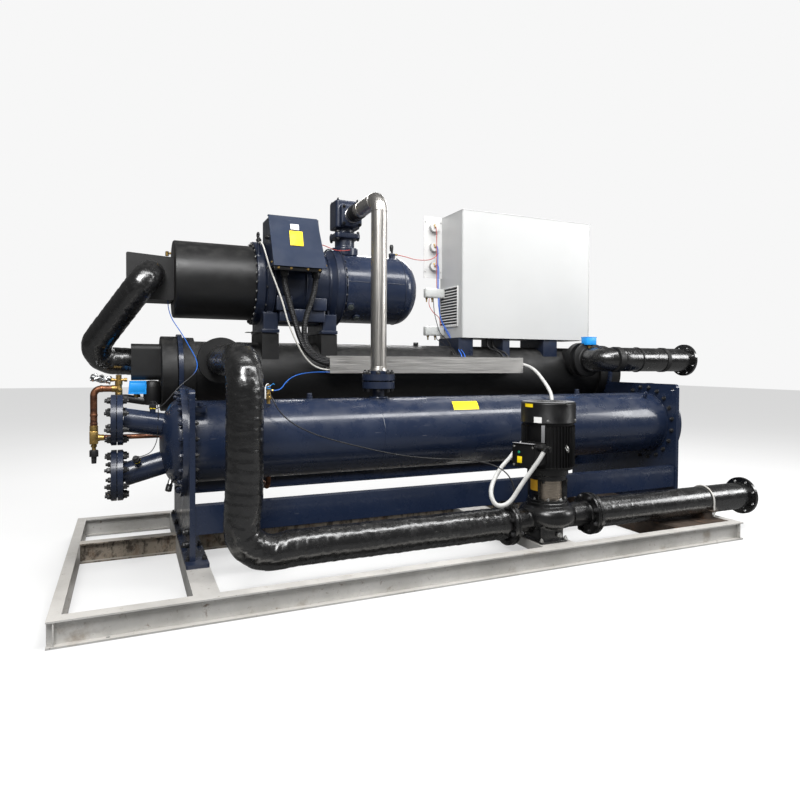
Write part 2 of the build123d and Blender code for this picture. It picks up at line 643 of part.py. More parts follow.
# ================================================================= pump
with BuildPart() as pump_casing:
    # volute: a fat ring about the vertical shaft
    with BuildSketch(xz(PIPE_Y)):
        with Locations((fx(PUMP_X), VOLUTE_Z)):
            RectangleRounded(2 * VOLUTE_R, 140, 64)
        with Locations((fx(PUMP_X) - VOLUTE_R - 50, VOLUTE_Z)):
            Rectangle(2 * VOLUTE_R + 100, 400, mode=Mode.SUBTRACT)
    revolve(axis=Axis((fx(PUMP_X), fy(PIPE_Y), 0), (0, 0, 1)))
    # cover flange on top
    with BuildSketch(level(COVER_Z0)):
        with Locations((fx(PUMP_X), fy(PIPE_Y))):
            Circle(135)
    extrude(amount=COVER_Z1 - COVER_Z0)
    # inlet and outlet necks with flanges
    for x0, x1 in ((SUCTION_X1, SUCTION_X1 + 26), (DIS_X0 - 26, DIS_X0)):
        with BuildSketch(yz(x0)):
            with Locations((fy(PIPE_Y), PIPE_Z)):
                Circle(FLANGE_R)
        extrude(amount=x1 - x0)
    for x0, x1 in ((SUCTION_X1 + 20, PUMP_X - 100), (PUMP_X + 100, DIS_X0 - 20)):
        with BuildSketch(yz(x0)):
            with Locations((fy(PIPE_Y), PIPE_Z + 4)):
                Circle(80)
        extrude(amount=x1 - x0)
    # foot on the crossmember
    with BuildSketch(level(BEAM_H)):
        with Locations((fx(2872), fy(PIPE_Y - 30))):
            RectangleRounded(214, 230, 12)
    extrude(amount=16)
    with BuildSketch(level(BEAM_H + 16)):
        with Locations((fx(2872), fy(PIPE_Y - 30))):
            RectangleRounded(186, 190, 24)
    extrude(amount=100)
finish_piece(pump_casing, "pump_casing")

with BuildPart() as pump_adapter:      # lantern between casing and motor, behind the coupling guard
    with BuildSketch(level(COVER_Z1)):
        with Locations((fx(PUMP_X), fy(PIPE_Y))):
            Circle(97)
    extrude(amount=LANTERN_Z - COVER_Z1)
    with BuildSketch(level(LANTERN_Z)):
        with Locations((fx(PUMP_X), fy(PIPE_Y))):
            Circle(135)
    extrude(amount=MOTOR_Z0 - LANTERN_Z)
finish_piece(pump_adapter, "pump_adapter")

with BuildPart() as pump_motor:
    with BuildSketch(level(MOTOR_Z0)):
        with Locations((fx(PUMP_X), fy(PIPE_Y))):
            Circle(MOTOR_R - 4)
    extrude(amount=MOTOR_Z1 - MOTOR_Z0)
    with BuildSketch(level(MOTOR_Z1)):
        with Locations((fx(PUMP_X), fy(PIPE_Y))):
            Circle(MOTOR_R + 3)
    extrude(amount=FAN_Z1 - MOTOR_Z1)
    fillet(pump_motor.edges().filter_by(GeomType.CIRCLE).sort_by(Axis.Z)[-1], radius=10)
finish_piece(pump_motor, "pump_motor")

BOX_N = Vector(-math.cos(math.radians(25)), -math.sin(math.radians(25)), 0)   # the way the box faces
BOX_T = Vector(-BOX_N.Y, BOX_N.X, 0)                                            # along its lid, to the right
BOX_Z = 708.0

with BuildPart() as pump_terminal_box:
    box_c = Vector(fx(PUMP_X), fy(PIPE_Y), BOX_Z) + BOX_N * 312
    with BuildSketch(Plane(origin=box_c, x_dir=BOX_T, z_dir=-BOX_N)):
        RectangleRounded(150, 134, 12)
    extrude(amount=170)
    # lid, a little wider
    with BuildSketch(Plane(origin=box_c, x_dir=BOX_T, z_dir=BOX_N)):
        RectangleRounded(160, 144, 12)
    extrude(amount=10)
    # elbow gland at the upper right
    with BuildSketch(Plane(origin=at(2737, 12, 756), z_dir=-BOX_T)):
        Circle(17)
    extrude(amount=74)
    with BuildSketch(Plane(origin=SLEEVE[-1], z_dir=(SLEEVE[-1] - SLEEVE[-2]).normalized())):
        Circle(18)
    extrude(amount=26)
    add(pump_motor.part, mode=Mode.SUBTRACT)
finish_piece(pump_terminal_box, "pump_terminal_box")

# ================================================================= compressor
with BuildPart() as compressor_motor_housing:
    with BuildSketch(yz(COMP_X0)):
        with Locations((fy(COMP_Y), COMP_Z)):
            Circle(COMP_R)
    extrude(amount=COMP_X1 - COMP_X0)
    fillet(compressor_motor_housing.edges().filter_by(GeomType.CIRCLE).sort_by(Axis.X)[0], radius=14)
finish_piece(compressor_motor_housing, "compressor_motor_housing")

with BuildPart() as compressor_body:
    with BuildSketch(xz(COMP_Y)):
        with BuildLine():
            prof = [(COMP_X1, 0), (COMP_X1, 311), (COMP_X1 + 62, 311), (COMP_X1 + 62, 296), (COMP_X1 + 135, 296),
                    (COMP_X1 + 135, 262), (BODY_X1 - 110, 262), (BODY_X1 - 64, 300), (BODY_X1, 300), (BODY_X1, 0)]
            Polyline(*[(fx(p[0]), COMP_Z + p[1]) for p in prof], close=True)
        make_face()
    revolve(axis=Axis((0, fy(COMP_Y), COMP_Z), (1, 0, 0)))
    # feet
    for xf in (1300, 1748):
        with BuildSketch(level(1506)):
            with Locations((fx(xf), fy(COMP_Y))):
                Rectangle(110, 440)
        extrude(amount=150)
    # sensor head on the bolt flange
    with BuildSketch(level(2060)):
        with Locations((fx(1206), fy(1372))):
            Circle(14)
    extrude(amount=108)
finish_piece(compressor_body, "compressor_body")

with BuildPart() as oil_separator:
    with BuildSketch(xz(COMP_Y)):
        with BuildLine():
            n = 8
            dome = [(fx(SEP_X1 + SEP_DOME * math.sin(a)), COMP_Z + SEP_R * math.cos(a))
                    for a in [math.pi / 2 * k / n for k in range(n + 1)]]
            Polyline(dome[-1], (fx(BODY_X1), COMP_Z), (fx(BODY_X1), COMP_Z + SEP_R), dome[0])
            Spline(*dome)
        make_face()
    revolve(axis=Axis((0, fy(COMP_Y), COMP_Z), (1, 0, 0)))
finish_piece(oil_separator, "oil_separator")

with BuildPart() as compressor_terminal_box:
    # box on the front shoulder of the compressor, its lid leaning back
    with BuildSketch(yz(1272)):
        with BuildLine():
            Polyline((fy(1290), 2338), (fy(1165), 1972), (fy(1420), 1972), (fy(1560), 2140), (fy(1560), 2338), close=True)
        make_face()
    extrude(amount=352)
    with BuildSketch(yz(1200)):
        with Locations((fy(COMP_Y), COMP_Z)):
            Circle(263)
    extrude(amount=600, mode=Mode.SUBTRACT)
    add(compressor_body.part, mode=Mode.SUBTRACT)
    # glands of the two conduits
    for g in (CONDUIT_A[0], CONDUIT_B[0]):
        with BuildSketch(Plane.XY.offset(g.Z)):
            with Locations((g.X, g.Y)):
                Circle(27)
        extrude(amount=36)
finish_piece(compressor_terminal_box, "compressor_terminal_box")

# saddles that stand on the evaporator and carry the feet of the compressor
with BuildPart() as compressor_saddles:
    for xs in (1300, 1748):
        with BuildSketch(yz(xs - 62)):
            with Locations((fy(EVAP_Y), (EVAP_Z + 60 + 1506) / 2)):
                Rectangle(420, 1506 - EVAP_Z - 60)
        extrude(amount=124)
    add(evap_envelope.part, mode=Mode.SUBTRACT)
finish_piece(compressor_saddles, "compressor_saddles")

with BuildPart() as discharge_valve:
    with BuildSketch(level(COMP_Z + SEP_R - 40)):
        with Locations((fx(VALVE_X), fy(COMP_Y))):
            Circle(106)
    extrude(amount=90)
    with BuildSketch(level(COMP_Z + SEP_R + 50)):
        with Locations((fx(VALVE_X), fy(COMP_Y))):
            Circle(78)
    extrude(amount=150)
    with BuildSketch(level(COMP_Z + SEP_R + 120)):
        with Locations((fx(VALVE_X), fy(COMP_Y))):
            RectangleRounded(205, 205, 30)
    extrude(amount=40)
    with BuildSketch(level(COMP_Z + SEP_R + 200)):
        with Locations((fx(VALVE_X), fy(COMP_Y))):
            RectangleRounded(200, 190, 24)
    extrude(amount=215)
    # outlet flange to the front
    with BuildSketch(Plane(origin=(fx(DISCH_X), fy(COMP_Y - 80), DISCH_Z), x_dir=(1, 0, 0), z_dir=(0, -1, 0))):
        RectangleRounded(170, 170, 26)
    extrude(amount=60)
    add(oil_separator.part, mode=Mode.SUBTRACT)
    add(compressor_body.part, mode=Mode.SUBTRACT)
finish_piece(discharge_valve, "discharge_valve")

NECK_Z = 1114.0
discharge_pipe = pipe_sweep(
    [(fx(DISCH_X), fy(COMP_Y - 140), DISCH_Z), (fx(DISCH_X), fy(COND_Y), DISCH_Z), (fx(DISCH_X), fy(COND_Y), NECK_Z + 122)],
    [95.0], DISCH_R)
finish_piece(discharge_pipe, "discharge_pipe")

with BuildPart() as discharge_flanges:
    with BuildSketch(level(COND_Z + COND_R + 8)):
        with Locations((fx(DISCH_X), fy(COND_Y))):
            Circle(42)
    extrude(amount=NECK_Z - COND_Z - COND_R - 8)
    with BuildSketch(level(NECK_Z)):
        with Locations((fx(DISCH_X), fy(COND_Y))):
            Circle(114)
    extrude(amount=46)
    with BuildSketch(level(NECK_Z + 46)):
        with Locations((fx(DISCH_X), fy(COND_Y))):
            Circle(84)
    extrude(amount=10)
    with BuildSketch(level(NECK_Z + 56)):
        with Locations((fx(DISCH_X), fy(COND_Y))):
            Circle(114)
    extrude(amount=42)
    with BuildSketch(level(NECK_Z + 98)):
        with Locations((fx(DISCH_X), fy(COND_Y))):
            Circle(72)
    extrude(amount=24)
finish_piece(discharge_flanges, "discharge_flanges")

# ================================================================= suction side
with BuildPart() as suction_box:
    with BuildSketch(xz(1790)):
        with BuildLine():
            Polyline((fx(333), 2034), (fx(333), 1720), (fx(COMP_X0), 1720), (fx(COMP_X0), 2016), close=True)
        make_face()
    extrude(amount=340)
    fillet(suction_box.edges().filter_by(Axis.Y), radius=12)
finish_piece(suction_box, "suction_box")

suction_pipe = pipe_sweep(
    [(fx(484), fy(1450), 1890), (fx(484), fy(1262), 1890), (fx(68), fy(1580), 1304), (fx(362), fy(1620), 1290)],
    [112.0, 118.0], 96.0)
with BuildPart() as suction_pipe_trim:
    add(suction_pipe.part)
    add(suction_box.part, mode=Mode.SUBTRACT)
    with BuildSketch(yz(362)):
        with Locations((fy(EVAP_Y), 1288)):
            Rectangle(300, 300)
    extrude(amount=100, mode=Mode.SUBTRACT)
finish_piece(suction_pipe_trim, "suction_pipe")

with BuildPart() as suction_flange_block:
    with BuildSketch(yz(362)):
        with Locations((fy(EVAP_Y), 1288)):
            RectangleRounded(250, 254, 40)
    extrude(amount=HEAD_L_X0 - 362)
finish_piece(suction_flange_block, "suction_flange_block")

# ================================================================= cable tray
with BuildPart() as cable_tray:
    with BuildSketch(yz(TRAY_X0)):
        with BuildLine():
            y0, y1, z0, z1, t = fy(TRAY_Y0), fy(TRAY_Y1), TRAY_Z0, TRAY_Z1, 3.0
            Polyline((y0, z0), (y1, z0), (y1, z1), (y1 - t, z1), (y1 - t, z0 + t), (y0 + t, z0 + t), (y0 + t, z1), (y0, z1), close=True)
        make_face()
    extrude(amount=TRAY_X1 - TRAY_X0)
    # brackets to the evaporator
    for xb in (1850, 2550, 3250):
        with BuildSketch(yz(xb)):
            with Locations((fy(TRAY_Y1 + 27.5), TRAY_Z0 + 40)):
                Rectangle(55, 60)
        extrude(amount=40)
    add(evap_envelope.part, mode=Mode.SUBTRACT)
finish_piece(cable_tray, "cable_tray")

# ================================================================= control cabinet
with BuildPart() as control_cabinet:
    with BuildSketch(level(CAB_Z0)):
        with Locations((fx((CAB_X0 + CAB_X1) / 2), fy((CAB_Y0 + CAB_Y1) / 2))):
            Rectangle(CAB_X1 - CAB_X0, CAB_Y1 - CAB_Y0)
    extrude(amount=CAB_Z1 - CAB_Z0)
    fillet(control_cabinet.edges().filter_by(Axis.Z), radius=6)
finish_piece(control_cabinet, "control_cabinet")

with BuildPart() as cabinet_supports:
    for x0, x1 in ((2890, 3030), (3330, 3400), (3760, 3910)):
        with BuildSketch(yz(x0)):
            with Locations((fy(EVAP_Y), (EVAP_Z + 130 + CAB_Z0) / 2)):
                Rectangle(360, CAB_Z0 - EVAP_Z - 130)
        extrude(amount=x1 - x0)
    add(evap_envelope.part, mode=Mode.SUBTRACT)
finish_piece(cabinet_supports, "cabinet_supports")

with BuildPart() as gauge_panel:
    with BuildSketch(xz(1800)):
        with Locations((fx(2822), 2318)):
            Rectangle(178, 540)
    extrude(amount=4)
    for zg in (2490, 2318, 2150):
        with BuildSketch(xz(1796)):
            with Locations((fx(2822), zg)):
                Circle(38)
        extrude(amount=42)
finish_piece(gauge_panel, "gauge_panel")

with BuildPart() as pressure_switches:
    for zs in (1908, 1575):
        with BuildSketch(xz(1790)):
            with Locations((fx(2816), zs)):
                Rectangle(190, 84)
        extrude(amount=62)
finish_piece(pressure_switches, "pressure_switches")

# ================================================================= liquid line

with BuildPart() as liquid_line:
    # riser to the expansion valve, and the run from the underside of the condenser
    add(pipe_sweep([(fx(132), fy(LINE_Y), 860), (fx(132), fy(LINE_Y), 1107), (fx(262), fy(LINE_Y), 1107)],
                   [46.0], 22.0).part)
    add(pipe_sweep([(fx(190), fy(LINE_Y), LINE_Z), (fx(1180), fy(LINE_Y), LINE_Z), (fx(1180), fy(LINE_Y), 470),
                    (fx(1180), fy(COND_Y), 470), (fx(1180), fy(COND_Y), COND_Z - COND_R)],
                   [60.0, 60.0, 60.0], LINE_R).part)
    add(condenser_shell.part, mode=Mode.SUBTRACT)
finish_piece(liquid_line, "liquid_line")

with BuildPart() as angle_valve:
    with BuildSketch(level(735)):
        with Locations((fx(132), fy(LINE_Y))):
            Rectangle(52, 52)
    extrude(amount=90)
    with BuildSketch(level(640)):
        with Locations((fx(132), fy(LINE_Y))):
            Circle(19)
    extrude(amount=95)
    with BuildSketch(level(825)):
        with Locations((fx(132), fy(LINE_Y))):
            Circle(26)
    extrude(amount=35)
    with BuildSketch(Plane(origin=(fx(158), fy(LINE_Y), 778), x_dir=(0, 1, 0), z_dir=(1, 0, 0))):
        Circle(24)
    extrude(amount=32)
finish_piece(angle_valve, "liquid_angle_valve")

with BuildPart() as expansion_valve:
    with BuildSketch(level(1010)):
        with Locations((fx(285), fy(LINE_Y))):
            Circle(23)
    extrude(amount=190)
    with BuildSketch(Plane(origin=(fx(308), fy(LINE_Y), 1050), x_dir=(0, 1, 0), z_dir=(1, 0, 0))):
        Circle(22)
    extrude(amount=150)
    with BuildSketch(level(1050)):
        with Locations((fx(398), fy(LINE_Y))):
            Circle(17)
    extrude(amount=30)
    with BuildSketch(level(1078)):
        with Locations((fx(398), fy(LINE_Y))):
            RectangleRounded(115, 90, 10)
    extrude(amount=80)
    with BuildSketch(level(1028)):
        with Locations((fx(495), fy(LINE_Y))):
            RectangleRounded(112, 112, 24)
    extrude(amount=125)
finish_piece(expansion_valve, "expansion_valve")

with BuildPart() as flow_switch:
    with BuildSketch(level(EVAP_IN_Z + PIPE_R - 6)):
        with Locations((fx(EVAP_IN_X), fy(1210))):
            Circle(16)
    extrude(amount=34)
    with BuildSketch(level(EVAP_IN_Z + PIPE_R + 28)):
        with Locations((fx(EVAP_IN_X), fy(1210))):
            RectangleRounded(112, 76, 8)
    extrude(amount=72)
    add(evaporator_inlet_pipe.part, mode=Mode.SUBTRACT)
finish_piece(flow_switch, "flow_switch")

# ================================================================= cables


def bend_radii(points):
    radii = []
    for a, b, c in zip(points, points[1:], points[2:]):
        turn = math.radians((b - a).get_angle(c - b))
        radii.append(0.45 * min((b - a).length, (c - b).length) / math.tan(turn / 2))
    return radii


for route, diameter, label in ((SLEEVE, SLEEVE_D, "cord_white_sleeve"), (CONDUIT_A, CONDUIT_D, "cord_black_conduit_left"),
                               (CONDUIT_B, CONDUIT_D, "cord_black_conduit_right"), (WHITE, WHITE_D, "cord_white_compressor"),
                               (PUMP_CABLE, PUMP_CABLE_D, "cord_black_pump"), (BLUE, BLUE_D, "cord_blue_tray"),
                               (SENSOR, SENSOR_D, "cord_blue_sensor"), (CABINET_A, CABINET_D, "cord_black_cabinet_right"),
                               (CABINET_B, CABINET_D, "cord_black_cabinet_left")):
    radii = bend_radii(route)
    with BuildPart() as tube:
        with BuildLine() as path:
            FilletPolyline(*route, radius=radii)
        wire = path.wires()[0]
        with BuildSketch(Plane(origin=wire @ 0, z_dir=wire % 0)):
            Circle(diameter / 2)
        sweep(path=wire)
    finish_piece(tube, label)
    ratio = tube.part.volume / (math.pi * diameter ** 2 / 4 * wire.length)
    runs = [(b - a).length for a, b in zip(route, route[1:])]
    worst = max(max(m / n, n / m) for m, n in zip(runs, runs[1:]))
    print(label, "length", round(wire.length), "least radius in diameters", round(min(radii) / diameter, 1),
          "longest run in diameters", round(max(runs) / diameter, 1), "run ratio", round(worst, 2),
          "volume ratio", round(ratio, 4), "ends", round(runs[0] / runs[1], 2), round(runs[-1] / runs[-2], 2))
    print("   radii", [round(r) for r in radii])

print(len(pieces), "pieces")
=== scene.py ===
import bpy
import bmesh
import math
import random
from mathutils import Vector, Matrix, noise


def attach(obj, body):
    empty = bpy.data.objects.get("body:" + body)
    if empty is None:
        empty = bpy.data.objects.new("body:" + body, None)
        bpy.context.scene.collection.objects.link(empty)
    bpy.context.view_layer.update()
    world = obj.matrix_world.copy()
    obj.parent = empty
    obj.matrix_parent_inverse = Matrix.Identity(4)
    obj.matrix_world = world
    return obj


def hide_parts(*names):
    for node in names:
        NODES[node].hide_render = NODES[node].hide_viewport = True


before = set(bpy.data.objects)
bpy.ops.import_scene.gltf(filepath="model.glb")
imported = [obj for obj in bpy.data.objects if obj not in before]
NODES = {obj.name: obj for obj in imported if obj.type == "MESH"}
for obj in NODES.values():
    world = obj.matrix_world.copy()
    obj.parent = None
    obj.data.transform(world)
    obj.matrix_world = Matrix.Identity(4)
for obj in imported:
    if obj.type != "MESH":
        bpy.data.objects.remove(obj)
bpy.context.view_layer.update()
scene = bpy.context.scene
random.seed(7)


def at(x, y, z):
    """Millimetres from the left end, the front and the floor, to metres in the row frame."""
    return Vector(((x - 2253.0) / 1000, (y - 1004.0) / 1000, z / 1000))


# ------------------------------------------------------------------ camera
def photo_camera():
    yaw, pitch, roll = math.radians(23.94152381), math.radians(1.21159832), math.radians(-0.33546614)
    fwd = Vector((math.sin(yaw) * math.cos(pitch), math.cos(yaw) * math.cos(pitch), -math.sin(pitch)))
    right = Vector((math.cos(yaw), -math.sin(yaw), 0))
    down = fwd.cross(right)
    r2 = math.cos(roll) * right + math.sin(roll) * down
    d2 = -math.sin(roll) * right + math.cos(roll) * down
    cam = bpy.data.cameras.new("camera")
    cam.sensor_width = 36.0
    cam.lens = 618.43585478 * 36.0 / 800.0
    cam.shift_x = -(402.28919516 - 400.0) / 800.0
    cam.shift_y = (376.27528706 - 400.0) / 800.0
    cam.clip_start, cam.clip_end = 0.05, 200.0
    o = bpy.data.objects.new("camera", cam)
    scene.collection.objects.link(o)
    m = Matrix((r2, -d2, -fwd)).transposed().to_4x4()
    m.translation = Vector((0.34112667 - 2.253, -3.13712669 - 1.004, 1.29024843))
    o.matrix_world = m
    scene.camera = o


photo_camera()


# ------------------------------------------------------------------ materials
class Shade:
    """A procedural material: colour layers, then roughness, then bumps."""

    def __init__(s, name, base, rough=0.45, metal=0.0, coat=0.0, coat_rough=0.1, spec=0.5, stretch=(1, 1, 1)):
        s.m = bpy.data.materials.new(name)
        s.m.use_nodes = True
        s.nt = s.m.node_tree
        s.nt.nodes.clear()
        out = s.nt.nodes.new("ShaderNodeOutputMaterial")
        s.b = s.nt.nodes.new("ShaderNodeBsdfPrincipled")
        s.nt.links.new(s.b.outputs[0], out.inputs[0])
        s.b.inputs["Metallic"].default_value = metal
        s.b.inputs["Roughness"].default_value = rough
        s.b.inputs["Coat Weight"].default_value = coat
        s.b.inputs["Coat Roughness"].default_value = coat_rough
        s.b.inputs["Specular IOR Level"].default_value = spec
        s.b.inputs["Base Color"].default_value = (*base, 1)
        s.co = s.nt.nodes.new("ShaderNodeTexCoord").outputs["Object"]
        s.geo = None
        s.col = None
        s.base = base
        s.rough = rough
        s.height = None

    def link(s, a, b):
        s.nt.links.new(a, b)

    def vec(s, stretch=(1, 1, 1), rot=(0, 0, 0)):
        if tuple(stretch) == (1, 1, 1) and tuple(rot) == (0, 0, 0):
            return s.co
        n = s.nt.nodes.new("ShaderNodeMapping")
        n.inputs["Scale"].default_value = stretch
        n.inputs["Rotation"].default_value = rot
        s.link(s.co, n.inputs["Vector"])
        return n.outputs[0]

    def noise(s, scale, detail=4, rough=0.55, stretch=(1, 1, 1), distort=0.0, rot=(0, 0, 0)):
        n = s.nt.nodes.new("ShaderNodeTexNoise")
        n.inputs["Scale"].default_value = scale
        n.inputs["Detail"].default_value = detail
        n.inputs["Roughness"].default_value = rough
        n.inputs["Distortion"].default_value = distort
        s.link(s.vec(stretch, rot), n.inputs["Vector"])
        return n.outputs["Fac"]

    def cells(s, scale, stretch=(1, 1, 1), feature="F1", out="Distance"):
        n = s.nt.nodes.new("ShaderNodeTexVoronoi")
        n.feature = feature
        n.inputs["Scale"].default_value = scale
        s.link(s.vec(stretch), n.inputs["Vector"])
        return n.outputs[out]

    def wave(s, scale, direction="X", profile="SIN", distort=1.0, detail=2.0, dscale=1.0, rot=(0, 0, 0)):
        n = s.nt.nodes.new("ShaderNodeTexWave")
        n.wave_type = "BANDS"
        n.bands_direction = direction
        n.wave_profile = profile
        n.inputs["Scale"].default_value = scale
        n.inputs["Distortion"].default_value = distort
        n.inputs["Detail"].default_value = detail
        n.inputs["Detail Scale"].default_value = dscale
        s.link(s.vec((1, 1, 1), rot), n.inputs["Vector"])
        return n.outputs["Fac"]

    def ramp(s, fac, lo, hi, a=0.0, b=1.0):
        n = s.nt.nodes.new("ShaderNodeMapRange")
        n.interpolation_type = "SMOOTHSTEP"
        n.inputs["From Min"].default_value = lo
        n.inputs["From Max"].default_value = hi
        n.inputs["To Min"].default_value = a
        n.inputs["To Max"].default_value = b
        s.link(fac, n.inputs["Value"])
        return n.outputs[0]

    def math(s, op, a, b):
        n = s.nt.nodes.new("ShaderNodeMath")
        n.operation = op
        for i, v in enumerate((a, b)):
            if isinstance(v, (int, float)):
                n.inputs[i].default_value = v
            else:
                s.link(v, n.inputs[i])
        return n.outputs[0]

    def up(s, lo=0.3, hi=0.95):
        g = s.nt.nodes.new("ShaderNodeNewGeometry")
        x = s.nt.nodes.new("ShaderNodeSeparateXYZ")
        s.link(g.outputs["Normal"], x.inputs[0])
        return s.ramp(x.outputs["Z"], lo, hi)

    def where(s, axis, lo, hi):
        x = s.nt.nodes.new("ShaderNodeSeparateXYZ")
        s.link(s.co, x.inputs[0])
        return s.ramp(x.outputs[axis], lo, hi)

    def paint(s, fac, colour, amount=1.0, blend="MIX"):
        n = s.nt.nodes.new("ShaderNodeMix")
        n.data_type = "RGBA"
        n.blend_type = blend
        if amount != 1.0:
            fac = s.math("MULTIPLY", fac, amount)
        s.link(fac, n.inputs[0])
        if s.col is None:
            n.inputs[6].default_value = (*s.base, 1)
        else:
            s.link(s.col, n.inputs[6])
        n.inputs[7].default_value = (*colour, 1)
        s.col = n.outputs[2]
        return s

    def roughen(s, fac, lo, hi):
        n = s.nt.nodes.new("ShaderNodeMapRange")
        n.inputs["From Min"].default_value = 0.3
        n.inputs["From Max"].default_value = 0.7
        n.inputs["To Min"].default_value = lo
        n.inputs["To Max"].default_value = hi
        s.link(fac, n.inputs["Value"])
        s.link(n.outputs[0], s.b.inputs["Roughness"])
        return s

    def bump(s, fac, strength=0.3, distance=0.002):
        n = s.nt.nodes.new("ShaderNodeBump")
        n.inputs["Strength"].default_value = strength
        n.inputs["Distance"].default_value = distance
        s.link(fac, n.inputs["Height"])
        if s.height is not None:
            s.link(s.height, n.inputs["Normal"])
        s.height = n.outputs[0]
        return s

    def done(s):
        if s.col is not None:
            s.link(s.col, s.b.inputs["Base Color"])
        if s.height is not None:
            s.link(s.height, s.b.inputs["Normal"])
        return s.m


def galvanised():
    s = Shade("galvanised_steel", (0.62, 0.61, 0.585), rough=0.45, metal=0.35)
    s.paint(s.ramp(s.noise(2.2, 5), 0.35, 0.7), (0.30, 0.29, 0.265), 0.7)
    s.paint(s.ramp(s.cells(70, out="Color"), 0.1, 0.95), (0.50, 0.50, 0.49), 0.3)
    s.paint(s.ramp(s.noise(5.0, 6, 0.62), 0.56, 0.72), (0.21, 0.155, 0.10), 0.6)
    s.paint(s.ramp(s.noise(17, 8, 0.7, distort=0.6), 0.60, 0.70), (0.15, 0.085, 0.045), 0.7)
    s.paint(s.ramp(s.noise(90, 4, 0.6), 0.66, 0.74), (0.10, 0.07, 0.045), 0.55)
    s.paint(s.ramp(s.noise(26, 5, 0.6, stretch=(1, 1, 0.12)), 0.60, 0.78), (0.50, 0.49, 0.46), 0.5)
    # painted light: faces turned upwards are painted paler, as if lit from above
    s.paint(s.up(0.6, 0.9), (0.58, 0.555, 0.52), 0.55)
    s.paint(s.ramp(s.noise(30, 7, 0.7, distort=0.4), 0.60, 0.70), (0.19, 0.14, 0.10), 0.5)
    s.roughen(s.noise(9, 5), 0.34, 0.66)
    s.bump(s.noise(14, 5), 0.10, 0.003)
    s.bump(s.noise(220, 3), 0.12, 0.0006)
    return s.done()


def rusty(name, base, streak_axis=1):
    s = Shade(name, base, rough=0.62, metal=0.25)
    st = [1.0, 1.0, 1.0]
    st[streak_axis] = 0.06 if streak_axis == 1 else 0.55
    s.paint(s.ramp(s.noise(20, 7, 0.7, stretch=st), 0.46, 0.60), (0.035, 0.026, 0.020), 0.85)
    s.paint(s.ramp(s.noise(9, 6, 0.7), 0.52, 0.72), (0.16, 0.085, 0.045), 0.75)
    s.paint(s.ramp(s.noise(48, 6, 0.75), 0.57, 0.70), (0.27, 0.24, 0.21), 0.55)
    s.paint(s.ramp(s.noise(140, 4), 0.60, 0.75), (0.05, 0.03, 0.02), 0.6)
    # faces turned upwards painted pale: partly the paler galvanised upper flange, partly painted light from above on
    # the lower flange's top
    if streak_axis == 2:
        s.paint(s.up(0.6, 0.9), (0.55, 0.52, 0.47), 0.75)
    s.roughen(s.noise(12, 5), 0.48, 0.82)
    s.bump(s.noise(120, 5, 0.65), 0.35, 0.0012)
    s.bump(s.noise(10, 4), 0.15, 0.003)
    return s.done()


def navy(name="navy_enamel", base=(0.009, 0.0155, 0.036), rough=0.22, coat=0.35, spec=0.45):
    s = Shade(name, base, rough=rough, coat=coat, coat_rough=0.09, spec=spec)
    s.paint(s.ramp(s.noise(1.7, 3), 0.3, 0.75), tuple(c * 1.45 for c in base), 0.6)
    s.paint(s.ramp(s.noise(6.5, 6, 0.65, stretch=(0.35, 1, 1)), 0.58, 0.78), (0.032, 0.037, 0.055), 0.35)
    dust = s.math("MULTIPLY", s.up(0.35, 1.0), s.ramp(s.noise(11, 6, 0.65), 0.38, 0.75))
    s.paint(dust, (0.11, 0.112, 0.125), 0.28)
    s.paint(s.ramp(s.noise(180, 2, 0.5, stretch=(0.05, 1, 1)), 0.735, 0.78), (0.22, 0.22, 0.24), 0.5)
    s.paint(s.ramp(s.noise(46, 4, 0.7), 0.70, 0.76), (0.12, 0.115, 0.12), 0.5)
    s.roughen(s.noise(7, 5, 0.6), rough * 0.75, rough * 1.9)
    s.bump(s.noise(95, 2, 0.4), 0.10, 0.0009)
    s.bump(s.noise(4.0, 3), 0.05, 0.004)
    return s.done()


def insulation(name="foam_insulation", base=(0.0055, 0.0055, 0.0057), rough=0.5):
    s = Shade(name, base, rough=rough, spec=0.5)
    s.paint(s.ramp(s.noise(1.6, 5, 0.6), 0.35, 0.75), (0.010, 0.010, 0.0102), 0.7)
    s.paint(s.ramp(s.noise(5, 6, 0.66, stretch=(0.5, 1, 1)), 0.55, 0.75), (0.020, 0.0195, 0.019), 0.4)
    dust = s.math("MULTIPLY", s.up(0.3, 1.0), s.ramp(s.noise(14, 6, 0.7), 0.40, 0.75))
    s.paint(dust, (0.10, 0.097, 0.092), 0.35)
    s.paint(s.ramp(s.noise(70, 4, 0.7), 0.68, 0.76), (0.12, 0.115, 0.11), 0.35)
    s.roughen(s.noise(6, 5, 0.6), rough * 0.82, rough * 1.35)
    s.bump(s.noise(5.5, 3, 0.5), 0.35, 0.006)
    s.bump(s.noise(24, 4, 0.55), 0.14, 0.002)
    s.bump(s.cells(260), 0.10, 0.0005)
    return s.done()


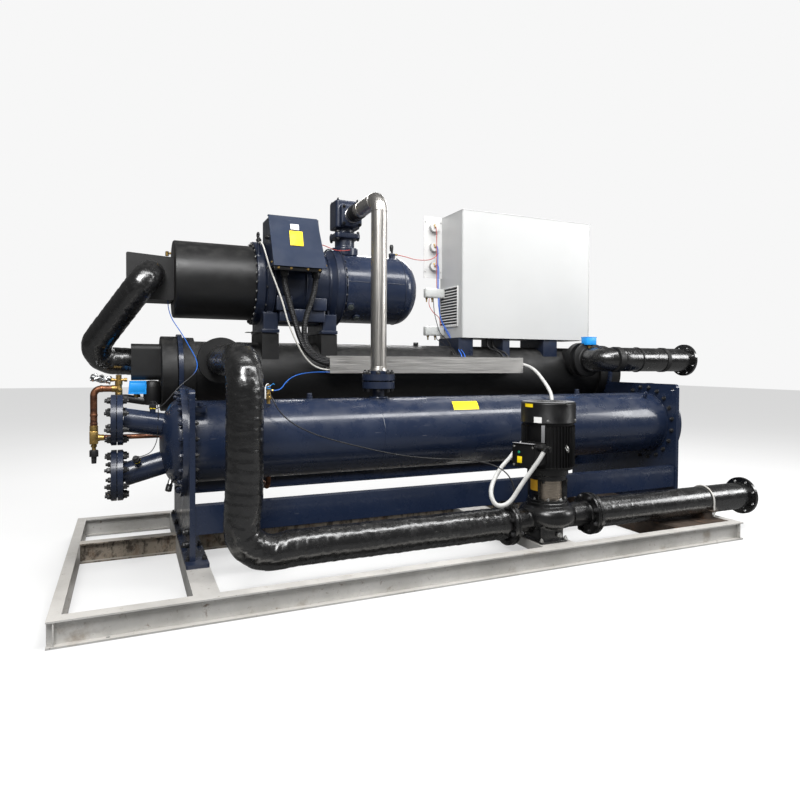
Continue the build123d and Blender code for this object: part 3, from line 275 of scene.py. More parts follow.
def tape_wrap(name="tape_wrap", scale=6.2, direction="X", rot=(0, 0, 0.16), lap=0.55):
    s = Shade(name, (0.0035, 0.0035, 0.0038), rough=0.22, spec=0.95, coat=0.35, coat_rough=0.12)
    lap_f = s.wave(scale, direction, "SAW", distort=1.3, detail=2.5, dscale=1.4, rot=rot)
    s.paint(s.ramp(s.noise(3, 5, 0.6), 0.4, 0.75), (0.0065, 0.0065, 0.0066), 0.8)
    s.paint(s.ramp(lap_f, 0.94, 1.0), (0.02, 0.02, 0.02), 0.4)
    dust = s.math("MULTIPLY", s.up(0.25, 1.0), s.ramp(s.noise(22, 6, 0.72), 0.40, 0.78))
    s.paint(dust, (0.09, 0.088, 0.084), 0.28)
    # short bright slanted streaks: painted sheen on the tape's wrinkles
    s.paint(s.ramp(s.noise(60, 5, 0.75, stretch=(0.25, 1, 1), rot=(0, 0, 0.5)), 0.66, 0.74), (0.16, 0.155, 0.15), 0.45)
    s.roughen(s.noise(13, 5, 0.65), 0.16, 0.36)
    s.bump(lap_f, min(1.0, lap * 1.6), 0.0026)
    s.bump(s.noise(17, 6, 0.62, stretch=(0.5, 1, 1), distort=1.2, rot=(0, 0, 0.35)), 0.4, 0.004)
    s.bump(s.noise(38, 4, 0.6, stretch=(0.16, 1, 0.9), distort=0.5, rot=(0.3, 0.45, 0.2)), 0.5, 0.003)
    s.bump(s.noise(85, 4, 0.6, stretch=(0.5, 1, 1), distort=0.6), 0.12, 0.0008)
    return s.done()


def stainless(name="stainless", axis=2, rough=0.26, base=(0.60, 0.585, 0.555)):
    st = [1.0, 1.0, 1.0]
    st[axis] = 0.02
    s = Shade(name, base, rough=rough, metal=1.0)
    s.paint(s.ramp(s.noise(3.5, 5, 0.6), 0.4, 0.75), tuple(c * 0.78 for c in base), 0.6)
    s.paint(s.ramp(s.noise(150, 4, 0.6, stretch=st), 0.45, 0.75), tuple(c * 0.74 for c in base), 0.4)
    s.paint(s.ramp(s.noise(12, 6, 0.7), 0.62, 0.75), (0.30, 0.25, 0.19), 0.35)
    s.roughen(s.noise(160, 3, 0.6, stretch=st), rough * 0.7, rough * 1.5)
    s.bump(s.noise(260, 3, 0.6, stretch=st), 0.12, 0.0006)
    s.bump(s.noise(7, 3), 0.06, 0.004)
    return s.done()


def enamel(name, base, rough=0.3, dirt=(0.5, 0.48, 0.44), dirt_amount=0.25, coat=0.15):
    s = Shade(name, base, rough=rough, coat=coat, coat_rough=0.15)
    s.paint(s.ramp(s.noise(1.3, 4), 0.35, 0.75), tuple(c * 0.93 for c in base), 0.8)
    s.paint(s.ramp(s.noise(4, 7, 0.7, stretch=(1, 1, 0.3)), 0.60, 0.80), dirt, dirt_amount)
    s.paint(s.ramp(s.noise(55, 4, 0.7), 0.71, 0.77), dirt, 0.4)
    s.roughen(s.noise(9, 4), rough * 0.85, rough * 1.3)
    s.bump(s.noise(420, 2, 0.5), 0.10, 0.0004)
    s.bump(s.noise(1.2, 2), 0.03, 0.006)
    return s.done()


def cast(name, base, rough=0.4, coat=0.2, grain=160, spec=0.5):
    s = Shade(name, base, rough=rough, coat=coat, coat_rough=0.22, spec=spec)
    s.paint(s.ramp(s.noise(5, 5), 0.35, 0.75), tuple(min(1, c * 1.5 + 0.001) for c in base), 0.6)
    dust = s.math("MULTIPLY", s.up(0.3, 1.0), s.ramp(s.noise(25, 6, 0.7), 0.38, 0.75))
    s.paint(dust, (0.09, 0.088, 0.084), 0.24)
    s.paint(s.ramp(s.noise(70, 5, 0.7), 0.67, 0.75), (0.14, 0.13, 0.12), 0.4)
    s.roughen(s.noise(12, 5, 0.6), rough * 0.7, rough * 1.5)
    s.bump(s.noise(grain, 4, 0.6), 0.22, 0.0010)
    s.bump(s.noise(9, 3), 0.10, 0.003)
    return s.done()


def brass_like(name, base, dark, rough=0.34, heat=None):
    s = Shade(name, base, rough=rough, metal=0.95)
    s.paint(s.ramp(s.noise(14, 6, 0.65), 0.40, 0.70), dark, 0.75)
    s.paint(s.ramp(s.noise(55, 6, 0.7), 0.55, 0.72), tuple(c * 0.45 for c in dark), 0.65)
    if heat:
        s.paint(s.ramp(s.wave(3.4, "Z", "SIN", 5.0, 3.0, 2.0), 0.55, 0.95), heat, 0.7)
    s.roughen(s.noise(30, 5, 0.6), rough * 0.75, rough * 1.7)
    s.bump(s.noise(140, 4, 0.6), 0.18, 0.0008)
    return s.done()


def plastic(name, base, rough=0.4, spec=0.5, coat=0.0):
    s = Shade(name, base, rough=rough, spec=spec, coat=coat)
    s.paint(s.ramp(s.noise(8, 5), 0.4, 0.75), tuple(min(1, c * 1.25 + 0.006) for c in base), 0.6)
    s.paint(s.ramp(s.noise(60, 5, 0.7), 0.66, 0.76), (0.25, 0.24, 0.23), 0.25)
    s.roughen(s.noise(15, 4), rough * 0.8, rough * 1.35)
    s.bump(s.noise(500, 2, 0.5), 0.14, 0.0004)
    return s.done()


def sheath(name, base, rough=0.5, rib=0.0, ripple=0.0):
    s = Shade(name, base, rough=rough)
    s.paint(s.ramp(s.noise(14, 5, 0.65), 0.4, 0.72), tuple(c * 0.6 for c in base), 0.5)
    s.paint(s.ramp(s.noise(60, 5, 0.7), 0.62, 0.75), (0.16, 0.155, 0.15), 0.35)
    s.roughen(s.noise(20, 4), rough * 0.8, rough * 1.3)
    if rib:
        s.bump(s.wave(rib, "Z", "SIN", 0.2, 1.0), 0.8, 0.0035)
    if ripple:
        s.bump(s.noise(ripple, 4, 0.55, distort=0.8), 0.6, 0.004)
    s.bump(s.noise(180, 3), 0.15, 0.0006)
    return s.done()


M = {
    "galv": galvanised(),
    "rust": rusty("rusty_deck", (0.075, 0.055, 0.042)),
    "rustweb": rusty("rusty_web", (0.32, 0.275, 0.22), 2),
    "navy": navy(),
    "navy2": navy("navy_castings", (0.0085, 0.0138, 0.031), 0.3, 0.3),
    "foam": insulation(),
    "foam2": insulation("foam_jacket", (0.009, 0.009, 0.0092), 0.36),
    "wrap": tape_wrap(),
    "wrapm": tape_wrap("tape_wrap_modelled", 6.2, "X", (0.5, 0.4, 0.7), 0.08),
    # lighter, matte copy of the navy for the compressor box lid: painted light on the lid
    "lid": navy("navy_lid_painted_light", (0.026, 0.034, 0.056), 0.6, 0.0, 0.15),
    "steelpipe": stainless("stainless_pipe", 2, 0.34, (0.66, 0.635, 0.60)),
    "tray": stainless("stainless_tray", 0, 0.40, (0.74, 0.725, 0.70)),
    "guard": stainless("stainless_guard", 0, 0.36, (0.46, 0.40, 0.33)),
    "white": enamel("white_powder_coat", (0.47, 0.475, 0.472), 0.4),
    "panel": enamel("grey_panel", (0.62, 0.62, 0.61), 0.4),
    "blackcast": cast("black_casting", (0.0045, 0.0045, 0.0048), 0.27, 0.25),
    "motor": cast("black_motor", (0.0035, 0.0035, 0.0037), 0.4, 0.0, 260, 0.3),
    "motortop": cast("motor_cover", (0.0035, 0.0035, 0.0037), 0.36, 0.0, 300, 0.3),
    # light grey sheets laid over black faces: painted highlight on the tops of the fan cover and pump terminal box and
    # on the motor boss
    "painted_highlight": cast("cover_top_painted_highlight", (0.20, 0.20, 0.205), 0.32, 0.2, 300),
    "brass": brass_like("cast_brass", (0.52, 0.35, 0.12), (0.27, 0.17, 0.06)),
    "copper": brass_like("tarnished_copper", (0.30, 0.135, 0.075), (0.13, 0.058, 0.035), 0.42, (0.075, 0.036, 0.028)),
    "zinc": brass_like("zinc_bolts", (0.50, 0.50, 0.49), (0.33, 0.32, 0.30), 0.36),
    "blackbolt": cast("blackened_bolts", (0.016, 0.016, 0.017), 0.33, 0.0, 300),
    "blackpl": plastic("black_plastic", (0.013, 0.013, 0.014), 0.38),
    "clear": plastic("pale_plastic", (0.50, 0.51, 0.50), 0.25),
    "blue": plastic("blue_plastic", (0.008, 0.25, 0.68), 0.36),
    "yellow": plastic("yellow_plate", (0.86, 0.62, 0.004), 0.45),
    "orange": plastic("amber_plate", (0.75, 0.40, 0.02), 0.45),
    "whiteplate": plastic("white_plate", (0.72, 0.72, 0.70), 0.4),
    "red": plastic("red_sleeve", (0.42, 0.06, 0.05), 0.4),
    "bluewire": plastic("blue_sleeve", (0.02, 0.12, 0.55), 0.4),
    "green": plastic("green_plug", (0.01, 0.25, 0.13), 0.3),
    "cableblack": sheath("cable_black", (0.013, 0.013, 0.014), 0.42),
    "conduit": sheath("corrugated_conduit", (0.012, 0.012, 0.013), 0.4, rib=26.0),
    "cablewhite": sheath("cable_white", (0.50, 0.49, 0.455), 0.5, ripple=24),
    "sleeve": sheath("white_sleeve", (0.47, 0.468, 0.455), 0.42, ripple=30),
    "cableblue": sheath("cable_blue", (0.012, 0.10, 0.42), 0.4),
    "foil": stainless("foil", 1, 0.25, (0.66, 0.67, 0.68)),
    "glass": plastic("sight_glass", (0.05, 0.06, 0.06), 0.08, 0.8, 0.8),
    "dial": plastic("dial_white", (0.82, 0.82, 0.80), 0.25),
    "rubber": sheath("black_rubber", (0.011, 0.011, 0.0115), 0.48),
    "floor": None,
}


# ------------------------------------------------------------------ cables
def cable(name, node, route, diameter, mat):
    cu = bpy.data.curves.new(name, "CURVE")
    cu.dimensions = "3D"
    cu.bevel_depth = diameter / 2
    cu.bevel_resolution = 4
    cu.use_fill_caps = True
    cu.resolution_u = 10
    sp = cu.splines.new("NURBS")
    sp.points.add(len(route) - 1)
    for p, q in zip(sp.points, route):
        p.co = (q.x, q.y, q.z, 1.0)
    sp.order_u = 3
    sp.use_endpoint_u = True
    o = bpy.data.objects.new(name, cu)
    scene.collection.objects.link(o)
    cu.materials.append(M[mat])
    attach(o, "root")
    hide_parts(node)
    return o


SLEEVE = [at(3352, 1316, 1290), at(3412, 1286, 1288), at(3452, 1232, 1272), at(3462, 1165, 1244), at(3446, 1080, 1208),
          at(3414, 975, 1160), at(3374, 860, 1110), at(3318, 735, 1052), at(3235, 620, 955), at(3115, 545, 855), at(2990, 508, 795),
          at(2872, 478, 742), at(2778, 420, 708), at(2700, 350, 676), at(2624, 298, 648), at(2556, 254, 622),
          at(2498, 214, 590), at(2448, 178, 554), at(2414, 152, 518), at(2396, 128, 474), at(2404, 108, 434),
          at(2424, 92, 413), at(2472, 79, 416), at(2512, 68, 449), at(2546, 60, 502), at(2582, 50, 558),
          at(2617, 36, 610), at(2650, 22, 660), at(2680, 13, 704), at(2703, 9, 742)]
CONDUIT_A = [at(1369, 1270, 1942), at(1369, 1270, 1856), at(1400, 1256, 1730), at(1436, 1246, 1600), at(1472, 1240, 1475),
             at(1520, 1242, 1380), at(1592, 1254, 1316), at(1692, 1263, 1284), at(1800, 1264, 1274)]
CONDUIT_B = [at(1602, 1270, 1942), at(1602, 1270, 1856), at(1572, 1278, 1740), at(1534, 1284, 1635), at(1516, 1289, 1530),
             at(1532, 1294, 1435), at(1590, 1300, 1360), at(1680, 1306, 1310), at(1790, 1309, 1282)]
WHITE = [at(1206, 1358, 2148), at(1206, 1306, 2148), at(1212, 1262, 2124), at(1226, 1240, 2068), at(1250, 1226, 1970),
         at(1288, 1213, 1865), at(1320, 1203, 1775), at(1348, 1193, 1685), at(1370, 1186, 1592), at(1406, 1184, 1498),
         at(1452, 1190, 1405), at(1507, 1202, 1322), at(1568, 1217, 1268), at(1640, 1238, 1242), at(1716, 1256, 1237),
         at(1794, 1264, 1239)]
PUMP_CABLE = [at(1150, 742, 1090), at(1150, 704, 1090), at(1154, 672, 1074), at(1166, 652, 1040), at(1188, 640, 996),
              at(1228, 628, 950),
              at(1280, 618, 908), at(1355, 602, 866), at(1446, 590, 828), at(1548, 585, 796), at(1652, 582, 766),
              at(1762, 580, 736), at(1874, 576, 708), at(1986, 564, 684), at(2098, 540, 668), at(2204, 497, 660),
              at(2300, 432, 660), at(2380, 352, 660), at(2440, 270, 654), at(2490, 196, 636), at(2530, 152, 598),
              at(2554, 134, 552), at(2568, 128, 504), at(2578, 136, 460), at(2590, 156, 422), at(2602, 188, 390)]
BLUE = [at(1164, 760, 1112), at(1200, 760, 1112), at(1238, 786, 1122), at(1278, 850, 1158), at(1328, 922, 1186),
        at(1388, 1000, 1204), at(1454, 1078, 1214), at(1520, 1148, 1219), at(1584, 1208, 1222), at(1650, 1242, 1222),
        at(1724, 1250, 1221), at(1794, 1248, 1222)]
SENSOR = [at(600, 1500, 1720), at(600, 1500, 1682), at(609, 1472, 1632), at(622, 1427, 1586), at(640, 1362, 1546),
          at(660, 1294, 1506), at(683, 1230, 1458), at(708, 1178, 1402), at(734, 1124, 1348), at(750, 1062, 1298),
          at(748, 1000, 1254), at(724, 942, 1218), at(690, 886, 1190), at(650, 842, 1162), at(606, 818, 1120),
          at(564, 824, 1066), at(528, 852, 1022), at(497, 879, 1005)]
CABINET_A = [at(3258, 1506, 1510), at(3258, 1506, 1466), at(3265, 1480, 1428), at(3277, 1438, 1406), at(3291, 1390, 1396),
             at(3303, 1346, 1376), at(3310, 1314, 1340), at(3310, 1302, 1296)]
CABINET_B = [at(3202, 1498, 1510), at(3202, 1498, 1466), at(3209, 1472, 1428), at(3221, 1430, 1408), at(3235, 1382, 1398),
             at(3247, 1338, 1376), at(3254, 1306, 1340), at(3254, 1294, 1296)]


def sensor_sheath():
    """Blue above, grey below the end plate."""
    s = Shade("sensor_wire", (0.012, 0.10, 0.42), rough=0.4)
    s.paint(s.math("SUBTRACT", 1.0, s.where("Z", 1.20, 1.26)), (0.045, 0.045, 0.048))
    s.paint(s.ramp(s.noise(60, 4), 0.6, 0.75), (0.15, 0.15, 0.15), 0.3)
    s.roughen(s.noise(20, 4), 0.35, 0.55)
    s.bump(s.noise(180, 3), 0.15, 0.0005)
    return s.done()


M["sensorwire"] = sensor_sheath()
cable("white_sleeve", "cord_white_sleeve", SLEEVE, 0.028, "sleeve")
cable("conduit_left", "cord_black_conduit_left", CONDUIT_A, 0.042, "conduit")
cable("conduit_right", "cord_black_conduit_right", CONDUIT_B, 0.042, "conduit")
cable("cable_compressor", "cord_white_compressor", WHITE, 0.012, "cablewhite")
cable("cable_pump", "cord_black_pump", PUMP_CABLE, 0.008, "cableblack")
cable("wire_tray", "cord_blue_tray", BLUE, 0.007, "cableblue")
cable("wire_sensor", "cord_blue_sensor", SENSOR, 0.006, "sensorwire")
cable("cable_cabinet_right", "cord_black_cabinet_right", CABINET_A, 0.020, "cableblack")
cable("cable_cabinet_left", "cord_black_cabinet_left", CABINET_B, 0.020, "cableblack")


# ------------------------------------------------------------------ carried-over pieces
FINISH = {
    "base_front_beam": "galv", "base_rear_beam": "galv", "base_end_channels": "galv", "base_inner_beams": "rustweb",
    "crossmember_left": "galv", "crossmember_pump": "galv", "deck_right": "rust", "pipe_support": "rust",
    "end_plate_left": "navy", "end_plate_right": "navy", "shell_rails": "navy", "condenser_shell": "navy",
    "condenser_nozzles": "navy", "condenser_head_left": "navy", "condenser_head_right": "navy", "counter_flanges": "navy2",
    "condenser_fitting": "brass", "evaporator_shell": "foam", "evaporator_head_left": "foam", "evaporator_head_right": "foam",
    "evaporator_port_stubs": "foam", "suction_box": "foam", "suction_flange_block": "foam",
    "pump_suction_pipe": "wrap", "pump_discharge_pipe": "wrap", "evaporator_inlet_pipe": "wrap", "suction_pipe": "wrap",
    "pump_casing": "blackcast", "pump_adapter": "blackcast", "pump_motor": "motor", "pump_terminal_box": "motor",
    "compressor_motor_housing": "foam2", "compressor_body": "navy2", "oil_separator": "navy", "compressor_terminal_box": "navy2",
    "compressor_saddles": "foam", "discharge_valve": "navy2", "discharge_pipe": "steelpipe", "discharge_flanges": "navy2",
    "cable_tray": "tray", "control_cabinet": "white", "cabinet_supports": "navy2", "gauge_panel": "panel",
    "pressure_switches": "clear", "liquid_line": "copper", "liquid_angle_valve": "brass", "expansion_valve": "blue",
    "flow_switch": "blue",
}
for node, key in FINISH.items():
    o = NODES[node]
    if not o.data.materials:
        o.data.materials.append(M[key])
    for sl in o.material_slots:
        sl.material = M[key]

# ------------------------------------------------------------------ mesh building, in millimetres from the left end, the front and the floor
class Build:
    def __init__(s):
        s.v = []
        s.f = []

    def add(s, verts, faces):
        k = len(s.v)
        s.v.extend(verts)
        s.f.extend([tuple(i + k for i in f) for f in faces])

    @staticmethod
    def axes(axis, hint=None):
        w = Vector(axis).normalized()
        h = Vector(hint) if hint is not None else (Vector((0, 0, 1)) if abs(w.z) < 0.9 else Vector((1, 0, 0)))
        u = h.cross(w).normalized()
        return u, w.cross(u), w

    def lathe(s, p, axis, prof, n=32, a0=0.0, a1=360.0, hint=None):
        """prof: (distance along the axis, radius) from one end to the other."""
        u, v, w = s.axes(axis, hint)
        p = Vector(p)
        closed = abs(a1 - a0) >= 359.9
        m = n if closed else n + 1
        verts, faces = [], []
        for t, r in prof:
            for k in range(m):
                a = math.radians(a0 + (a1 - a0) * k / n)
                verts.append(p + w * t + (u * math.cos(a) + v * math.sin(a)) * max(r, 0.02))
        for i in range(len(prof) - 1):
            for k in range(n):
                k2 = (k + 1) % m
                faces.append((i * m + k, i * m + k2, (i + 1) * m + k2, (i + 1) * m + k))
        if closed:
            if prof[0][1] > 0.05:
                faces.append(tuple(reversed(range(m))))
            if prof[-1][1] > 0.05:
                faces.append(tuple((len(prof) - 1) * m + k for k in range(m)))
        s.add(verts, faces)

    def cyl(s, p, axis, r, h, n=28, c=1.0):
        s.lathe(p, axis, [(0, r - c), (c, r), (h - c, r), (h, r - c)], n)

    def ring(s, p, axis, r_in, r_out, h, n=48, c=1.0):
        s.lathe(p, axis, [(0, r_in), (0, r_out - c), (c, r_out), (h - c, r_out), (h, r_out - c), (h, r_in), (0, r_in)], n)

    def hexa(s, p, axis, af, h, spin=0.0):
        u, v, w = s.axes(axis)
        p = Vector(p)
        r = af / math.sqrt(3)
        verts, faces = [], []
        rows = ((0, 0.97), (h * 0.08, 1.0), (h * 0.82, 1.0), (h, 0.88))
        for t, q in rows:
            for k in range(6):
                a = math.radians(60 * k) + spin
                verts.append(p + w * t + (u * math.cos(a) + v * math.sin(a)) * r * q)
        for i in range(len(rows) - 1):
            for k in range(6):
                faces.append((i * 6 + k, i * 6 + (k + 1) % 6, (i + 1) * 6 + (k + 1) % 6, (i + 1) * 6 + k))
        faces.append(tuple(reversed(range(6))))
        faces.append(tuple(18 + k for k in range(6)))
        s.add(verts, faces)

    def bolt(s, p, axis, af=24, washer=True, stud=0.0, head=None):
        p = Vector(p)
        w = Vector(axis).normalized()
        t = 0.0
        if washer:
            s.cyl(p, w, af * 0.72, af * 0.13, 18, 0.3)
            t = af * 0.13
        h = head or af * 0.62
        s.hexa(p + w * t, w, af, h, random.uniform(0, 1.0))
        if stud:
            s.cyl(p + w * (t + h - 1), w, af * 0.31, stud, 12, 1.2)

    def box(s, c, size, ax=None, bevel=1.5):
        ax = ax or (Vector((1, 0, 0)), Vector((0, 1, 0)), Vector((0, 0, 1)))
        c = Vector(c)
        bm = bmesh.new()
        bmesh.ops.create_cube(bm, size=1.0)
        for q in bm.verts:
            q.co = Vector((q.co.x * size[0], q.co.y * size[1], q.co.z * size[2]))
        b = min(bevel, min(size) * 0.3)
        if b > 0:
            bmesh.ops.bevel(bm, geom=list(bm.edges), offset=b, segments=2, profile=0.5, affect="EDGES")
        bm.verts.index_update()
        s.add([c + ax[0] * q.co.x + ax[1] * q.co.y + ax[2] * q.co.z for q in bm.verts],
              [tuple(x.index for x in f.verts) for f in bm.faces])
        bm.free()

    def prism(s, pts, vec):
        n = len(pts)
        vec = Vector(vec)
        s.add([Vector(p) for p in pts] + [Vector(p) + vec for p in pts],
              [tuple(reversed(range(n))), tuple(range(n, 2 * n))] +
              [(k, (k + 1) % n, n + (k + 1) % n, n + k) for k in range(n)])

    def tube(s, pts, r, n=10, r_of=None, caps=True):
        pts = [Vector(p) for p in pts]
        verts, faces = [], []
        u = None
        length = 0.0
        for i, p in enumerate(pts):
            t = (pts[min(i + 1, len(pts) - 1)] - pts[max(i - 1, 0)]).normalized()
            if u is None:
                u = s.axes(t)[0]
            u = (u - t * u.dot(t)).normalized()
            v = t.cross(u)
            if i:
                length += (p - pts[i - 1]).length
            for k in range(n):
                a = 2 * math.pi * k / n
                rr = r if r_of is None else r_of(length, a, p)
                verts.append(p + (u * math.cos(a) + v * math.sin(a)) * rr)
        for i in range(len(pts) - 1):
            for k in range(n):
                faces.append((i * n + k, i * n + (k + 1) % n, (i + 1) * n + (k + 1) % n, (i + 1) * n + k))
        if caps:
            faces.append(tuple(reversed(range(n))))
            faces.append(tuple((len(pts) - 1) * n + k for k in range(n)))
        s.add(verts, faces)

    def torus(s, p, axis, big, small, n=40, m=12, a0=0, a1=360):
        u, v, w = s.axes(axis)
        p = Vector(p)
        closed = a1 - a0 >= 360
        pts = [p + (u * math.cos(math.radians(a0 + (a1 - a0) * k / n)) + v * math.sin(math.radians(a0 + (a1 - a0) * k / n))) * big
               for k in range(n + 1)]
        if closed:
            verts, faces = [], []
            for k in range(n):
                d = (pts[k] - p).normalized()
                for j in range(m):
                    b = 2 * math.pi * j / m
                    verts.append(pts[k] + (d * math.cos(b) + w * math.sin(b)) * small)
            for k in range(n):
                for j in range(m):
                    faces.append((k * m + j, k * m + (j + 1) % m, ((k + 1) % n) * m + (j + 1) % m, ((k + 1) % n) * m + j))
            s.add(verts, faces)
        else:
            s.tube(pts, small, m)

    def make(s, name, mat, slot=None, replaces=(), sharp=38, normals=True):
        me = bpy.data.meshes.new(name)
        me.from_pydata([((q.x - 2253) / 1000, (q.y - 1004) / 1000, q.z / 1000) for q in s.v], [], s.f)
        if normals:
            bm = bmesh.new()
            bm.from_mesh(me)
            bmesh.ops.recalc_face_normals(bm, faces=bm.faces)
            bm.to_mesh(me)
            bm.free()
        me.shade_smooth()
        me.set_sharp_from_angle(angle=math.radians(sharp))
        me.materials.append(M[mat])
        o = bpy.data.objects.new(name, me)
        scene.collection.objects.link(o)
        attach(o, "root")
        if replaces:
            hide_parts(*replaces)
        return o


def arc_path(pts, radii, step):
    """Points along straight runs joined by round bends, about a step apart."""
    pts = [Vector(p) for p in pts]
    out = [pts[0]]

    def line(to):
        a = out[-1]
        n = max(1, int((to - a).length / step))
        for k in range(1, n + 1):
            out.append(a.lerp(to, k / n))
    for i in range(1, len(pts) - 1):
        a, b, c = pts[i - 1], pts[i], pts[i + 1]
        d1, d2 = (b - a).normalized(), (c - b).normalized()
        turn = d1.angle(d2)
        r = radii[i - 1]
        t = r * math.tan(turn / 2)
        p1 = b - d1 * t
        line(p1)
        nrm = (d2 - d1 * d2.dot(d1)).normalized()
        cen = p1 + nrm * r
        n = max(4, int(r * turn / step))
        for k in range(1, n + 1):
            a2 = turn * k / n
            out.append(cen - nrm * r * math.cos(a2) + d1 * r * math.sin(a2))
    line(pts[-1])
    return out


def smooth_path(pts, step=6.0):
    """Catmull-Rom line through a rigid tube's points."""
    pts = [Vector(p) for p in pts]
    q = [pts[0] * 2 - pts[1]] + pts + [pts[-1] * 2 - pts[-2]]
    out = []
    for i in range(1, len(q) - 2):
        a, b, c, d = q[i - 1], q[i], q[i + 1], q[i + 2]
        n = max(2, int((c - b).length / step))
        for k in range(n):
            t = k / n
            out.append(0.5 * ((2 * b) + (c - a) * t + (2 * a - 5 * b + 4 * c - d) * t * t + (3 * b - a - 3 * c + d) * t ** 3))
    out.append(pts[-1])
    return out


def circle_pts(p, axis, r, n, start=0.0, hint=None):
    u, v, w = Build.axes(axis, hint)
    p = Vector(p)
    return [p + (u * math.cos(math.radians(start + 360 * k / n)) + v * math.sin(math.radians(start + 360 * k / n))) * r for k in range(n)]


def soften(node, voxel, rounds, mat, name, sharp=60):
    """A casting's look: the CAD piece's own surface with its corners rounded a few millimetres."""
    src = NODES[node]
    me = src.data.copy()
    o = bpy.data.objects.new(name, me)
    scene.collection.objects.link(o)
    md = o.modifiers.new("cast", "REMESH")
    md.mode = "VOXEL"
    md.voxel_size = voxel
    md.use_smooth_shade = True
    sm = o.modifiers.new("round", "SMOOTH")
    sm.factor = 0.6
    sm.iterations = rounds
    dg = bpy.context.evaluated_depsgraph_get()
    new = bpy.data.meshes.new_from_object(o.evaluated_get(dg))
    o.modifiers.clear()
    o.data = new
    bpy.data.meshes.remove(me)
    new.materials.clear()
    new.materials.append(M[mat])
    new.shade_smooth()
    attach(o, "root")
    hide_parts(node)
    return o


# ------------------------------------------------------------------ taped pipes
def wrapped(name, node, pts, radii, r, pitch, wrinkle, seed, n=88, step=8.0, bend_boost=1.0, mat="wrapm", extra=None, after=None):
    """Pipe wound with tape: each lap stands a little proud, with folds in the bends. Without a node it lies over one."""
    line = arc_path(pts, radii, step)
    run = [0.0]
    for a, b in zip(line, line[1:]):
        run.append(run[-1] + (b - a).length)
    bend = []
    for i in range(len(line)):
        a, b, c = line[max(i - 2, 0)], line[i], line[min(i + 2, len(line) - 1)]
        d1, d2 = (b - a), (c - b)
        bend.append(0.0 if d1.length < 1e-6 or d2.length < 1e-6 else d1.angle(d2))

    def r_of(length, a, p):
        if node is None and (length < 1 or length > run[-1] - 1):
            return 100.0
        h = (length / pitch + a / (2 * math.pi)) % 1.0
        lap = 2.6 * (1.0 - h) if h > 0.09 else 2.6 * h / 0.09
        q = p * 0.001
        near = min(range(max(0, int(length / step) - 3), min(len(line), int(length / step) + 4)), key=lambda i: abs(run[i] - length), default=0)
        fold = min(1.0, bend[near] * 5.0) * bend_boost
        w1 = noise.noise(Vector((length * 0.012 + seed, math.cos(a) * 1.3, math.sin(a) * 1.3)))
        w2 = noise.noise(Vector((length * 0.055 + a * 0.9 + seed, math.cos(a) * 2.6, math.sin(a) * 2.6)))
        w3 = abs(noise.noise(Vector((length * 0.10 - a * 1.4, math.cos(a) * 4.0 + seed, math.sin(a) * 4.0))))
        d = lap + w1 * 2.2 * wrinkle + w2 * 1.7 * (wrinkle + fold * 1.6) - w3 * 2.2 * (0.4 * wrinkle + fold)
        return r - 3.0 + d * 0.85
    b = Build()
    b.tube(line, r, n, r_of, node is not None)
    if after:
        b.v = [after(q) for q in b.v]
    if extra:
        extra(b)
    return b.make(name, mat, "wrap", (node,) if node else (), 50)


# riser from the evaporator to the pump, with the pump's pipe flange
def suction_flange(b):
    b.lathe((2576, 250, 255), (1, 0, 0), [(-58, 99), (-40, 106), (-22, 109), (-4, 108), (0, 100)], 56)


def fat_elbow(q):
    """The insulation of the lower bend is wound thicker on its outer side."""
    d = Vector((q.x - 1130, 0, q.z - 475))
    if d.x > 160 or d.z > 200:
        return q
    turn = math.degrees(math.atan2(-d.z, -d.x)) - 45
    return q + d.normalized() * 26 * math.exp(-(turn / 38) ** 2)


wrapped("wrap_pump_suction", "pump_suction_pipe",
        [(920, 1175, 1303), (920, 250, 1303), (912, 250, 255), (2576, 250, 255)], [190, 190], 103, 58, 1.0, 3.1, 92, 8.0, 1.5,
        extra=suction_flange, after=fat_elbow)
wrapped("wrap_suction", "suction_pipe",
        [(484, 1440, 1890), (484, 1262, 1890), (68, 1580, 1304), (366, 1620, 1290)], [112, 118], 96, 62, 0.75, 9.7, 88, 7.0, 1.1)
fl = Build()
fl.lathe((2576, 250, 255), (1, 0, 0), [(0, 60), (0, 139), (3, 142.5), (21, 142.5), (23.6, 141), (23.6, 60)], 72)
fl.make("pump_pipe_flange", "blackcast", "black")


# ------------------------------------------------------------------ bolts
B = {k: Build() for k in ("navy2", "zinc", "blackbolt")}
# condenser heads: twenty bolts through head flange and end plate
for x_out, x_in, s in ((628, 693, -1), (4503, 4438, 1)):
    for p in circle_pts((0, 905, 797), (1, 0, 0), 300, 20, 9):
        B["navy2"].bolt((x_out, p.y, p.z), (s, 0, 0), 25, True, 6)
        B["blackbolt"].bolt((x_in, p.y, p.z), (-s, 0, 0), 25, True, 9)
# nozzle flange pairs: eight studs with nuts on both sides
for zf in (943, 614):
    for p in circle_pts((0, 905, zf), (1, 0, 0), 125, 8, 22.5, (0, 1, 0)):
        B["blackbolt"].bolt((250, p.y, p.z), (-1, 0, 0), 30, True, 13)
        B["blackbolt"].bolt((314, p.y, p.z), (1, 0, 0), 30, True, 11)
        B["blackbolt"].cyl((248, p.y, p.z), (1, 0, 0), 10, 70, 12)
